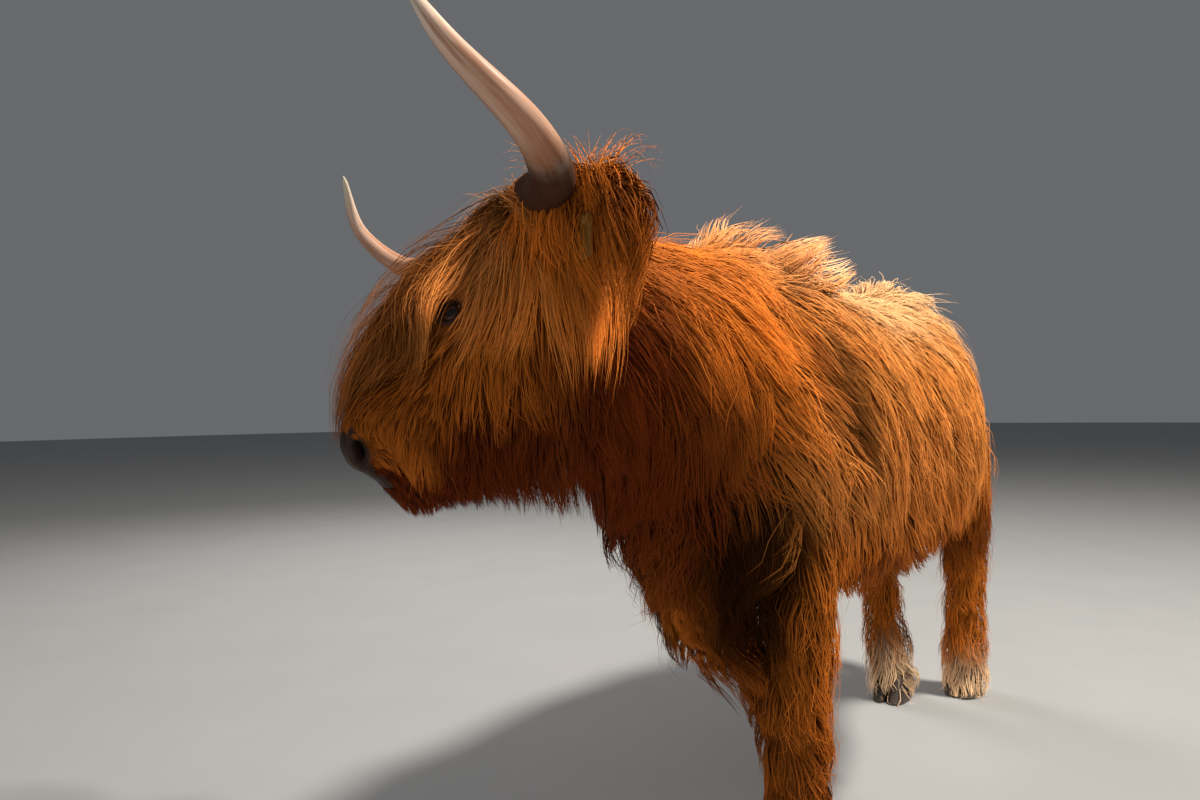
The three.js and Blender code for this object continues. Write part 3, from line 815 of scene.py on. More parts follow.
def feed(tree, made, inputs):
    """The inputs of a node, given as values or as other nodes' outputs."""
    for socket, value in dict(inputs).items():
        if isinstance(value, bpy.types.NodeSocket):
            tree.links.new(value, made.inputs[socket])
        else:
            made.inputs[socket].default_value = value


def node(tree, kind, inputs=(), **settings):
    """A shader node with its settings and its inputs."""
    made = tree.nodes.new(kind)
    for name, value in settings.items():
        setattr(made, name, value)
    feed(tree, made, inputs)
    return made


def maths(tree, operation, *values):
    return node(tree, "ShaderNodeMath", dict(enumerate(values)), operation=operation).outputs[0]


def times(tree, *values):
    return reduce(lambda one, other: maths(tree, "MULTIPLY", one, other), values)


def highest(tree, *values):
    return reduce(lambda one, other: maths(tree, "MAXIMUM", one, other), values)


def plus(tree, value, share, more):
    """`value` times `share`, plus `more`."""
    return maths(tree, "MULTIPLY_ADD", value, share, more)


def stretch(tree, value, low, high, to_low=0.0, to_high=1.0):
    """A value from one range brought smoothly to another."""
    inputs = {"Value": value, "From Min": low, "From Max": high, "To Min": to_low, "To Max": to_high}
    return node(tree, "ShaderNodeMapRange", inputs, interpolation_type="SMOOTHSTEP").outputs["Result"]


def blend_colour(tree, share, one, other, kind="MIX"):
    inputs = {0: share, 6: one, 7: other}
    return node(tree, "ShaderNodeMix", inputs, data_type="RGBA", blend_type=kind).outputs[2]


def tint(tree, colour, value):
    """A colour brought darker or lighter by a value."""
    grey = node(tree, "ShaderNodeCombineColor", {0: value, 1: value, 2: value}).outputs[0]
    return blend_colour(tree, 1.0, colour, grey, "MULTIPLY")


def noise(tree, vector, scale, detail=3.0, rough=0.5):
    inputs = {"Vector": vector, "Scale": scale, "Detail": detail, "Roughness": rough}
    return node(tree, "ShaderNodeTexNoise", inputs).outputs["Fac"]


def parts_of(tree, vector):
    return node(tree, "ShaderNodeSeparateXYZ", {0: vector}).outputs[:3]


def vector_of(tree, *parts):
    return node(tree, "ShaderNodeCombineXYZ", dict(enumerate(parts))).outputs[0]


def scaled(tree, vector, scale):
    return node(tree, "ShaderNodeMapping", {"Vector": vector, "Scale": scale}).outputs[0]


def object_place(tree):
    return node(tree, "ShaderNodeTexCoord").outputs["Object"]


def attribute(tree, name, output="Vector"):
    return node(tree, "ShaderNodeAttribute", attribute_name=name).outputs[output]


def bumps(tree, height, strength, distance):
    inputs = {"Strength": strength, "Distance": distance, "Height": height}
    return node(tree, "ShaderNodeBump", inputs).outputs[0]


def opaque(colour, share=1.0):
    """A colour setting, times `share`, as a value for a colour socket."""
    return (*[c * share for c in colour[:3]], 1.0)


def group_of(name, inputs, outputs):
    """An empty node group with named sockets, and its two ends."""
    tree = bpy.data.node_groups.new(name, "ShaderNodeTree")
    for label, kind, default in inputs:
        socket = tree.interface.new_socket(label, in_out="INPUT", socket_type=kind)
        if default is not None:
            socket.default_value = default
    for label, kind in outputs:
        tree.interface.new_socket(label, in_out="OUTPUT", socket_type=kind)
    return tree, tree.nodes.new("NodeGroupInput"), tree.nodes.new("NodeGroupOutput")


SHADE_SHIFT = 0.035  # how far behind the line of the parting its painted shade lies


def markings_and_light_group(settings):
    """The cow's markings by place, with painted light and shade: pale along the back and rump, dark on the
    breast and low on the legs.
    """
    name = "Coat markings and painted light"
    if name in bpy.data.node_groups:
        return bpy.data.node_groups[name]
    colours = {"Red": settings.coat_colour, "Pale": settings.pale_colour,
               "Dark": settings.dark_and_shade_colour, "Bleached": settings.bleached_colour}
    inputs = [("Place", "NodeSocketVector", None), ("Along", "NodeSocketFloat", 0.5),
              ("Chance", "NodeSocketFloat", 0.5)]
    inputs += [(label, "NodeSocketColor", opaque(colour)) for label, colour in colours.items()]
    tree, start, end = group_of(name, inputs, [("Colour", "NodeSocketColor")])
    place, along, chance, red, pale, dark, bleached = start.outputs[:len(inputs)]

    def patch(*ramps):
        """High where all its ramps are: each is a value, the range it crosses and what that becomes."""
        return times(tree, *[stretch(tree, *ramp) for ramp in ramps])

    x, y, z = parts_of(tree, place)
    wobble = plus(tree, noise(tree, place, 5.0, 2.0), 0.16, -0.08)
    height, rear = maths(tree, "ADD", z, wobble), maths(tree, "ADD", x, wobble)
    throat = maths(tree, "ADD", rear, plus(tree, z, 0.55, -0.41))
    aside = maths(tree, "ABSOLUTE", maths(tree, "SUBTRACT", y, float(SPINE)))

    # Paler along the back and rump: partly sun-bleached hair, partly painted light from above.
    back = patch((height, 0.90, 1.12), (rear, -0.40, 0.05, 0, 0.9))
    # Painted light: the flank behind the shoulder is a little paler.
    flank = patch((height, 0.60, 0.78, 0, 0.30), (rear, -0.48, -0.28))
    rump = patch((height, 0.75, 1.05), (rear, 0.25, 0.75, 0, 0.75))
    # Painted light: the fringe is paler.
    fringe_light = patch((y, -0.11, -0.03, 0, 0.4), (x, -0.54, -0.62), (z, 0.94, 1.04))
    # Darker on the breast and throat: partly the coat's own darker red, partly painted shade.
    breast = patch((throat, -0.31, -0.47), (height, 1.14, 0.98), (height, 0.52, 0.72, 0.35, 1),
                   (x, -0.78, -0.66, 0.35, 1))
    # Painted shade under the jaw, kept off the lip.
    lip = patch((x, -0.81, -0.87, 0, 0.7), (z, 0.77, 0.80))
    jaw = times(tree, patch((height, 0.95, 0.85), (x, -0.60, -0.70)), maths(tree, "SUBTRACT", 1.0, lip))
    shins = patch((height, 0.62, 0.30, 0, 0.45), (rear, 0.60, 0.20))
    # Painted shade on the lower belly.
    belly = patch((height, 0.68, 0.58, 0, 0.7), (rear, -0.20, -0.05), (z, 0.42, 0.50))
    # Painted shade on the ears.
    ears = patch((aside, 0.09, 0.13, 0, 0.75), (x, -0.58, -0.64), (z, 0.94, 1.00))
    # Painted shade on the cheeks, darker on the sides of the head.
    cheeks = patch((aside, 0.045, 0.09, 0, 0.5), (x, -0.60, -0.68), (height, 1.10, 1.02))
    pastern = patch((height, 0.24, 0.10), (rear, 0.35, 0.60))
    # The tufts along the top of the back: partly sun-bleached hair, partly painted light.
    crown_bleach_and_light = patch((height, 0.99, 1.12), (rear, -0.42, -0.05, 0, 0.80), (along, 0.15, 0.8, 0.4, 1))

    # Where the coat is dark: partly its own colour on the breast and low on the legs, partly painted shade.
    dark_and_shade = highest(tree, breast, jaw, shins, belly, ears, cheeks)
    # The pale coat is laid on partly as sun-bleaching and partly as painted light.
    pale_and_light = times(tree, highest(tree, back, rump, flank, fringe_light), plus(tree, chance, 0.5, 0.6),
                      maths(tree, "SUBTRACT", 1.0, dark_and_shade))
    pale_and_light = node(tree, "ShaderNodeClamp", {"Value": pale_and_light}).outputs[0]
    shade = blend_colour(tree, dark_and_shade, red, dark)
    shade = blend_colour(tree, pale_and_light, shade, pale)
    shade = blend_colour(tree, highest(tree, pastern, crown_bleach_and_light), shade, bleached)

    # Painted shade in the hollow under each shoulder and along the parting, darkened nearly to black.
    folded = vector_of(tree, x, aside, times(tree, z, RECESS_SQUASH))
    middle = (RECESS[0], RECESS[1], RECESS[2] * RECESS_SQUASH)
    away = node(tree, "ShaderNodeVectorMath", {0: folded, 1: middle}, operation="DISTANCE").outputs["Value"]
    recess_shade = patch((away, RECESS_REACH, RECESS_REACH * 0.45), (aside, 0.225, 0.165))
    (top_x, _, top_z), (low_x, _, low_z) = PARTING[0], PARTING[-1]
    slope = (low_x - top_x) / (low_z - top_z)
    line = plus(tree, z, slope, top_x - slope * top_z + SHADE_SHIFT)
    off_line = maths(tree, "ABSOLUTE", maths(tree, "SUBTRACT", x, line))
    parting = patch((off_line, 0.038, 0.014), (aside, 0.14, 0.20), (z, top_z + 0.03, top_z),
                    (z, low_z - 0.03, low_z + 0.03))
    recess_and_parting_shade = highest(tree, recess_shade, times(tree, parting, 0.7))
    shade = tint(tree, shade, plus(tree, recess_and_parting_shade, -0.93, 1.0))
    # Painted shade deep in the coat and painted light at the tips: each lock darker towards its root and
    # lighter towards its tip, with a random tone, the pasterns a little lighter.
    deep = times(tree, stretch(tree, along, 0.0, 0.9, 0.36, 1.15), plus(tree, chance, 0.45, 0.74))
    shade = tint(tree, shade, plus(tree, pastern, 0.25, deep))
    feed(tree, end, {"Colour": shade})
    return tree


def marked(tree, settings, place, along, chance):
    """The colour of the cow's markings at a place, with their painted light and shade."""
    inputs = {"Place": place, "Along": along, "Chance": chance}
    return node(tree, "ShaderNodeGroup", inputs, node_tree=markings_and_light_group(settings)).outputs["Colour"]


def coat_material(settings):
    """Hair: the markings, painted light and painted shade at each lock's root, with fine streaks along the
    lock.
    """
    name = "Coat hair"
    if name in bpy.data.materials:
        return bpy.data.materials[name]
    made, tree, shader = new_material(name)
    across, along, chance = parts_of(tree, attribute(tree, "lock"))
    streaks = noise(tree, vector_of(
        tree, times(tree, across, 3.4), times(tree, along, 1.1), times(tree, chance, 90.0)), 1.6, 2.0)
    colour = marked(tree, settings, attribute(tree, "root"), along, chance)
    feed(tree, shader, {
        "Base Color": tint(tree, colour, stretch(tree, streaks, 0.3, 0.7, 0.62, 1.35)),
        "Roughness": stretch(tree, streaks, 0.2, 0.8, 0.42, 0.62),
        "Specular IOR Level": HAIR_GLOSS,
    })
    return made


def skin_material(settings):
    """Skin: the coat's own markings where hair covers it, darker as painted shade under the coat, bare and
    dark at the nose, lips and lids.
    """
    made, tree, shader = new_material("Skin")
    place = object_place(tree)
    bare, hollow = attribute(tree, "bare", "Fac"), attribute(tree, "hollow", "Fac")
    mottled = stretch(tree, noise(tree, place, 60.0, 4.0), 0.35, 0.65)
    nose = blend_colour(tree, mottled, opaque(settings.nose_colour), opaque(settings.nose_colour, 2.0))
    # The skin takes the coat's colour as near a lock's root: painted shade under the coat.
    colour = blend_colour(tree, bare, marked(tree, settings, place, 0.12, 0.3), nose)
    cells = node(tree, "ShaderNodeTexVoronoi", {"Vector": place, "Scale": 260.0}).outputs["Distance"]
    grain = maths(tree, "ADD", times(tree, cells, bare), noise(tree, place, 300.0, 2.0))
    feed(tree, shader, {
        # Painted shade inside the nostrils, the mouth and the lids, where the hollow mask is high.
        "Base Color": blend_colour(tree, hollow, colour, HOLLOW_PAINTED_SHADE),
        "Roughness": stretch(tree, bare, 0.2, 0.9, 0.85, 0.60),
        "Specular IOR Level": SKIN_GLOSS,
        "Normal": bumps(tree, grain, 0.35, 0.0012),
    })
    return made


def horn_material(settings):
    """Horn: cream, streaked along its length, tan and scaly at the base and clear at the tip."""
    made, tree, shader = new_material("Horn")
    along = parts_of(tree, attribute(tree, "horn"))[0]
    streaks = noise(tree, scaled(tree, attribute(tree, "horn_place"), (2.2, 16.0, 16.0)), 2.2, 5.0, 0.62)
    cloud = noise(tree, object_place(tree), 14.0, 3.0)
    base = stretch(tree, plus(tree, cloud, 0.16, along), 0.80, 0.54)
    blush = times(tree, stretch(tree, along, 0.50, 0.60), stretch(tree, along, 0.95, 0.74))
    colour = blend_colour(tree, stretch(tree, streaks, 0.42, 0.66), opaque(settings.horn_colour),
                          opaque(settings.horn_shade))
    colour = blend_colour(tree, times(tree, base, 0.97), colour, opaque(settings.horn_base))
    colour = blend_colour(tree, times(tree, blush, 0.6), colour, HORN_BLUSH)
    colour = blend_colour(tree, stretch(tree, along, 0.88, 0.97), colour, HORN_CLEAR)
    feed(tree, shader, {
        "Base Color": colour,
        "Roughness": plus(tree, base, 0.30, stretch(tree, streaks, 0.3, 0.7, 0.30, 0.46)),
        "Specular IOR Level": HORN_GLOSS,
        "Normal": bumps(tree, streaks, 0.3, 0.001),
    })
    return made


def eye_material():
    """Eye: a dark brown iris with a wide level pupil and a dark white round it, under a clear gloss."""
    made, tree, shader = new_material("Eye")
    across, up = parts_of(tree, attribute(tree, "gaze"))[:2]

    def power(value, degree):
        return maths(tree, "POWER", value, degree)

    radius = maths(tree, "SQRT", maths(tree, "ADD", power(across, 2.0), power(up, 2.0)))
    wide, tall = [power(maths(tree, "ABSOLUTE", maths(tree, "DIVIDE", value, half)), 2.6)
                  for value, half in ((across, 0.40), (up, 0.20))]
    pupil = stretch(tree, maths(tree, "ADD", wide, tall), 1.25, 0.85)
    iris = blend_colour(tree, noise(tree, attribute(tree, "gaze"), 9.0, 4.0), IRIS_DARK, IRIS_LIGHT)
    colour = blend_colour(tree, stretch(tree, radius, 0.70, 0.80), iris, EYE_WHITE)
    feed(tree, shader, {
        "Base Color": blend_colour(tree, pupil, colour, PUPIL),
        "Roughness": 0.15,
        "Specular IOR Level": EYE_GLOSS,
        "Coat Roughness": 0.05,
        "Coat Weight": 0.4,
    })
    return made


def hoof_material(settings):
    """Hoof: dark horn with growth rings, dusty near the ground."""
    made, tree, shader = new_material("Hoof")
    place = object_place(tree)
    z = parts_of(tree, place)[2]
    wobble = noise(tree, place, 24.0, 3.0)
    ringed = maths(tree, "SINE", plus(tree, z, 900.0, times(tree, wobble, 7.0)))
    grain = noise(tree, scaled(tree, place, (1, 1, 0.12)), 240.0, 3.0)
    colour = blend_colour(tree, grain, opaque(settings.hoof_colour), opaque(settings.hoof_colour, 2.4))
    dust = times(tree, stretch(tree, plus(tree, wobble, 0.03, z), 0.045, 0.012), 0.5)
    feed(tree, shader, {
        "Base Color": blend_colour(tree, dust, colour, DUST),
        "Roughness": stretch(tree, grain, 0.3, 0.7, 0.4, 0.65),
        "Normal": bumps(tree, plus(tree, ringed, 0.5, grain), 0.5, 0.0012),
    })
    return made


def tag_material(settings):
    """Ear tag: plain moulded plastic, a little scuffed."""
    made, tree, shader = new_material("Tag plastic")
    scuffs = noise(tree, object_place(tree), 180.0, 5.0, 0.7)
    plain, worn = opaque(settings.tag_colour), opaque(settings.tag_colour, 0.55)
    feed(tree, shader, {
        "Base Color": blend_colour(tree, stretch(tree, scuffs, 0.5, 0.72, 0, 0.6), plain, worn),
        "Roughness": stretch(tree, scuffs, 0.3, 0.7, 0.32, 0.58),
        "Normal": bumps(tree, scuffs, 0.15, 0.0005),
    })
    return made


def finish_piece(piece, material, slot, *replaced):
    """A piece gets its material and its place on the body; its slot is not used."""
    piece.data.materials.clear()
    piece.data.materials.append(material)
    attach(piece, "root")
    if replaced:
        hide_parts(*replaced)


# ---------------------------------------------------------------- skin
SIDES = ((-1, "left"), (1, "right"))
REFINED = (1.0, 0.6, 0.3)  # how wide round the features the skin is cut finer, time after time


def refine(mesh):
    """The skin near the muzzle and the eyes, cut finer so that it can be shaped."""
    for share in REFINED:
        with edited(mesh) as work:
            near = near_features(np.array([v.co for v in work.verts]), share)
            edges = [e for e in work.edges if near[e.verts[0].index] and near[e.verts[1].index]]
            bmesh.ops.subdivide_edges(work, edges=edges, cuts=1, use_grid_fill=True)
            bmesh.ops.triangulate(work, faces=[f for f in work.faces if len(f.verts) > 4])


def near_features(points, share):
    """Whether each point is near the muzzle or an eye, where the skin shows."""
    along, aside, out = head_place(points).T
    muzzle = (along > 0.41 - 0.06 * share) & (along < 0.6) & (np.abs(aside) < 0.12) & (out > -0.2)
    return (muzzle & (share > 0.35)) | (nearest_eye(points) < 0.05 + 0.02 * share)


# Nostril: its middle on the head, the way it opens, and its half length, half width and depth.
NOSTRIL = {"place": (0.470, 0.052, -0.024), "opens": (0.62, 0.76, 0.16), "long": 0.019, "wide": 0.0105,
           "deep": 0.024}

# Mouth: from the middle of the lips (along, out) back to its corner, its half width and its depth.
MOUTH = {"tip": (0.500, -0.094), "corner": (0.405, -0.150), "half": 0.0045, "deep": 0.009}
LID = 0.0030  # thickness of an eyelid

# Eye opening: its half length, and how far its upper and lower lids stand from its middle line.
EYE_OPENING = {"half": 0.0180, "upper": 0.0112, "lower": 0.0095}


def nostril_middle(side):
    return on_head(*NOSTRIL["place"], side)


def shape_nostrils(moved, bare, hollow):
    """Each nostril is a comma-shaped hollow with a swollen wing round it."""
    opens = NOSTRIL["opens"]
    for side in (-1, 1):
        way = unit(opens[0] * ALONG + opens[1] * side * ASIDE + opens[2] * OUT)
        tall = unit(np.cross(way, np.cross(OUT + 0.45 * side * ASIDE - 0.2 * ALONG, way)))
        broad = np.cross(way, tall) * side
        gap = moved - nostril_middle(side)
        high, level, depth = gap @ tall, gap @ broad, gap @ way
        bend = level + 14.0 * (high - 0.004) ** 2
        widening = 1 + 0.35 * np.clip(-high / NOSTRIL["long"], -1, 1)
        reach = np.hypot(high / NOSTRIL["long"], bend / (NOSTRIL["wide"] * widening))
        near = (np.abs(depth) < 0.035) & (np.linalg.norm(gap, axis=1) < 0.06)
        pit = np.where(near, ease(1.0, 0.45, reach), 0)
        wing = np.where(near, np.exp(-((reach - 1.5) / 0.55) ** 2), 0)
        moved += way * (wing * 0.0050 - pit * NOSTRIL["deep"])[:, None]
        hollow[:] = np.maximum(hollow, ease(0.25, 0.75, pit))
        bare[:] = np.maximum(bare, np.where(near, ease(1.9, 1.5, reach), 0))


def mouth_line(along):
    """How far out from the face the mouth lies, along the head."""
    (tip, tip_out), (corner, corner_out) = MOUTH["tip"], MOUTH["corner"]
    run = np.clip((along - corner) / (tip - corner), 0, 1)
    return corner_out + (tip_out - corner_out) * run**1.2


def nose_side(aside):
    """How much further forward the hair of the lips reaches on the sides of the nose."""
    return 0.60 * np.clip(np.abs(aside) - 0.036, 0, 0.05)


def shape_mouth(moved, normals, bare, hollow):
    """A groove round the muzzle from corner to corner, with the lips rolled towards it."""
    along, aside, out = head_place(moved).T
    gap = out - mouth_line(along)
    here = (np.abs(aside) < 0.13) * ease(MOUTH["corner"][0] - 0.012, MOUTH["corner"][0] + 0.012, along)
    groove = here * np.exp(-(gap / MOUTH["half"]) ** 2)
    lips = here * np.exp(-((np.abs(gap) - 0.011) / 0.006) ** 2)
    moved += normals * (lips * 0.0022 - groove * MOUTH["deep"])[:, None]
    hollow[:] = np.maximum(hollow, ease(0.45, 1.0, groove) * 0.9)
    edge = along - nose_side(aside) + 0.10 * np.clip(out, -0.10, 0.02)
    pad = ease(0.452, 0.468, edge) * ease(-0.012, 0.004, gap)
    middle_groove = np.exp(-(aside / 0.0028) ** 2) * ease(0.46, 0.48, along) * ease(-0.03, -0.05, out)
    moved -= normals * (middle_groove * pad * 0.0030)[:, None]
    lip_skin = np.maximum(pad, here * np.exp(-(gap / 0.006) ** 2))
    bare[:] = np.maximum(bare, np.where(np.abs(aside) < 0.13, lip_skin, 0))


def shape_lids(moved, bare, hollow):
    """The skin lies on each eyeball round an almond opening, and dives behind the eye inside it."""
    half = EYE_OPENING["half"]
    for side in (-1, 1):
        front, upper, gaze = eye_axes(side)
        offset = moved - eye_centre(side)
        a, c, b = offset @ front, offset @ upper, offset @ gaze
        near = (np.linalg.norm(offset, axis=1) < 0.07) & (b > -0.010)
        span = np.abs(a) / half
        arch = np.sqrt(np.clip(1 - np.clip(span, 0, 1) ** 2.2, 0.002, 1))
        lid = np.where(c > 0, EYE_OPENING["upper"], EYE_OPENING["lower"]) * arch
        past_corner = np.hypot(a - np.sign(a) * half, c)
        from_edge = np.where(span < 1, np.maximum(np.abs(c) - lid, -past_corner), past_corner)
        flat = np.hypot(a, c)
        ball = np.sqrt(np.clip((EYE_RADIUS + LID) ** 2 - flat**2, 0.010**2, None))
        edge = np.exp(-((from_edge - 0.0018) / 0.0016) ** 2) * 0.0014
        crease = np.exp(-((from_edge - 0.0080) / 0.0016) ** 2) * 0.0026
        fold = np.exp(-((from_edge - 0.0120) / 0.0030) ** 2) * 0.0030 * np.where(c > 0, 1, 0.6)
        wrinkle = np.exp(-((from_edge - 0.0175) / 0.0018) ** 2) * 0.0012
        inside = ease(0.0004, -0.0016, from_edge)
        hold = ease(0.038, 0.021, flat)
        height = (ball + edge - crease + fold - wrinkle) * hold + b * (1 - hold)
        height = height * (1 - inside) + (ball * 0.5 - 0.004) * inside
        moved += gaze * np.where(near, height - b, 0)[:, None]
        bare[:] = np.maximum(bare, np.where(near, ease(0.0085, 0.0035, from_edge), 0))
        hollow[:] = np.maximum(hollow, np.where(near, inside, 0))


def shape_head(mesh):
    """Nostrils, mouth and eyelids pressed into the skin, with masks of bare and hollow skin; the hollow skin
    takes painted shade.
    """
    moved = points_of(mesh)
    normals = np.zeros(len(moved) * 3, np.float32)
    mesh.vertex_normals.foreach_get("vector", normals)
    bare, hollow = np.zeros((2, len(moved)))
    shape_mouth(moved, normals.reshape(-1, 3), bare, hollow)
    shape_nostrils(moved, bare, hollow)
    shape_lids(moved, bare, hollow)
    set_points(mesh, moved)
    add_attribute(mesh, "bare", bare)
    add_attribute(mesh, "hollow", hollow)


EAR_BASE = (0.010, 0.070, -0.046)  # along, aside and out from the poll
EAR_LENGTH, EAR_HALF_WIDTH, EAR_THICK = 0.185, 0.040, 0.006
EAR_ROOT = 0.026  # radius of its round root
EAR_CUP, EAR_DROOP = 0.024, 0.020  # how deep its leaf is, and how far its tip hangs


def ear_frame(side):
    """Where an ear starts, the way it points, the way it widens and the way it faces."""
    base = on_head(*EAR_BASE, side)
    tip = unit(ASIDE * side + np.array([0, 0, 0.05]))
    face = unit(np.cross(tip, -DOWN)) * side
    face = face * np.sign(face @ np.array([-1.0, 0, 0]))
    rise = np.cross(face, tip)
    rise = rise * np.sign(rise[2])
    return base, tip, rise, face


def ear_grid(side, rows=26, columns=17):
    """Points of an ear: a round root that opens into a long cupped leaf, as a front and a rear sheet."""
    base, tip, rise, face = ear_frame(side)
    t = np.linspace(0, 1, rows)[:, None]
    s = np.linspace(-1, 1, columns)[None]
    leaf = ease(0.08, 0.45, t)
    half = EAR_ROOT * (1 - leaf) + EAR_HALF_WIDTH * (1.25 - 0.25 * t) * leaf
    half = half * np.sqrt(np.clip(1 - t**4, 0.004, 1))
    cup = EAR_CUP * (1 - s**2) * leaf * (1 - 0.5 * t)
    middle = base + tip * (t * EAR_LENGTH)[..., None]
    sheet = middle + rise * (half * s - EAR_DROOP * t**2)[..., None] - face * cup[..., None]
    round_root = EAR_ROOT * np.sqrt(np.clip(1 - s**2, 0, 1)) * (1 - leaf)
    thick = EAR_THICK / 2 * (1 - 0.8 * s**4) * leaf + round_root
    return sheet + face * thick[..., None], sheet - face * thick[..., None]


def ear_rings(side):
    front, rear = ear_grid(side)
    return np.concatenate((front, rear[:, ::-1]), 1)


def build_skin(settings):
    """The skin of the whole body, shaped at the head, with both ear blades joined in."""
    fields = Coat()
    points, triangles, quads = surface(fields.bare, 0.0)
    points = np.asarray(points, float)
    corners = np.concatenate((quads[:, [0, 1, 2]], quads[:, [0, 2, 3]], triangles)).astype(int)
    skin = mesh_of("skin", points, corners)
    bpy.context.view_layer.objects.active = skin
    with edited(skin.data) as work:
        bmesh.ops.recalc_face_normals(work, faces=work.faces)
    refine(skin.data)
    shape_head(skin.data)
    ears = [rings_mesh(f"ear_blade_{name}", ear_rings(side)) for side, name in SIDES]
    for ear in ears:
        for mask in ("bare", "hollow"):
            add_attribute(ear.data, mask, np.zeros(len(ear.data.vertices)))
    join([skin, *ears]).data.shade_smooth()
    finish_piece(skin, skin_material(settings), "coat", *FLESH)

    solid = np.min([distances(points, VOXEL, BAND, triangles=corners), fields.hooves, fields.horns,
                    fields.eyes - EYE_RADIUS - LID], axis=0)
    fields.skin = Distance(soften(solid), VOXEL)
    fields.roots = root_faces(points[corners], fields)
    return fields


def root_faces(corners, fields):
    """The skin's triangles, as the places that locks can grow from."""
    middle = corners.mean(1)
    return {"corners": corners, "areas": areas_of(corners), "normals": fields.skin.read(middle)[1],
            "middle": middle, "label": fields.label_at(middle)}


class Body:
    """What the coat operators share: the fields that the skin leaves."""

    fields = None


def roots_on(names, test=None):
    """1 for each triangle of the skin on the named parts that passes the test, else 0."""
    skin = Body.fields.roots
    chosen = np.isin(skin["label"], [FLESH.index(name) for name in names])
    if test is not None:
        chosen &= test(skin["middle"], skin["normals"])
    return chosen.astype(float)


def coat_piece(name, density, locks, rings, width, unwrap, seed, settings, replaced=(), **lay):
    """One piece of coat, of this many locks with this many rings each, `width` wide at the root.

    Its locks grow by their part's traits unless `lay` says otherwise.
    """
    fields = Body.fields
    found = scatter(fields.roots, int(locks * settings.fullness), seed, density)
    traits = fields.traits.at(found.roots)
    given = dict(zip(("length", "droop", "wave", "curl"), traits[:, 1:5].T))
    given.update({key: value(found.roots) if callable(value) and key != "comb" else value
                  for key, value in lay.items()})
    grow(found, fields, rings, **given)
    found.normals = fields.skin.read(found.paths[:, rings // 2])[1]
    finish_piece(lock_mesh(name, found, width, unwrap), coat_material(settings), "coat", *replaced)


# ---------------------------------------------------------------- head pieces
EYE_GAP = 0.0008  # room between an eyeball and its lids


def build_eyes():
    """Eyeballs with a clear bulge in front, each with its gaze marked for the pupil."""
    material = eye_material()
    for side, name in SIDES:
        _, up, gaze = eye_axes(side)
        axes = np.array([np.cross(up, gaze), up, gaze])
        bpy.ops.mesh.primitive_uv_sphere_add(segments=48, ring_count=32, radius=1)
        ball = bpy.context.object
        ball.name = f"eye_ball_{name}"
        points = points_of(ball.data)
        bulge = 1 + 0.09 * ease(0.70, 0.95, points[:, 2])
        set_points(ball.data, eye_centre(side) + (points * bulge[:, None] @ axes) * (EYE_RADIUS - EYE_GAP))
        ball.data.shade_smooth()
        add_attribute(ball.data, "gaze", points)
        finish_piece(ball, material, "eye", f"eye_{name}")


HORN_ROUTE = [  # along, aside and out from the poll, root to tip
    (0.020, 0.030, -0.012), (0.026, 0.103, 0.004), (0.043, 0.213, 0.009), (0.074, 0.320, 0.034),
    (0.104, 0.416, 0.090), (0.101, 0.425, 0.194), (0.052, 0.366, 0.280),
]


def smooth_route(points, count):
    """Points evenly along one smooth curve through a few."""
    points = np.asarray(points, float)
    gaps = np.linalg.norm(np.diff(points, axis=0), axis=1) ** 0.5
    knots = np.concatenate(([0], np.cumsum(gaps)))
    ends = np.concatenate((points[:1] * 2 - points[1:2], points, points[-1:] * 2 - points[-2:-1]))
    times = np.concatenate(([-gaps[0]], knots, [knots[-1] + gaps[-1]]))
    found = []
    for u in np.linspace(0, knots[-1], count * 4):
        i = int(np.clip(np.searchsorted(knots, u, "right") - 1, 0, len(points) - 2))
        t, p = times[i:i + 4], ends[i:i + 4]
        a = [p[k] + (p[k + 1] - p[k]) * (u - t[k]) / (t[k + 1] - t[k]) for k in range(3)]
        b = [a[k] + (a[k + 1] - a[k]) * (u - t[k]) / (t[k + 2] - t[k]) for k in range(2)]
        found.append(b[0] + (b[1] - b[0]) * (u - t[1]) / (t[2] - t[1]))
    found = np.array(found)
    run = np.concatenate(([0], np.cumsum(np.linalg.norm(np.diff(found, axis=0), axis=1))))
    even = np.linspace(0, run[-1], count)
    return np.stack([np.interp(even, run, found[:, axis]) for axis in range(3)], -1)


def carry_frame(path):
    """Two directions square to a path at each of its points, with no sudden turn."""
    tangent = unit(np.gradient(path, axis=0))
    sides = [unit(np.cross(tangent[0], DOWN))]
    for way in tangent[1:]:
        sides.append(unit(sides[-1] - way * (sides[-1] @ way)))
    return np.array(sides), np.cross(tangent, np.array(sides))


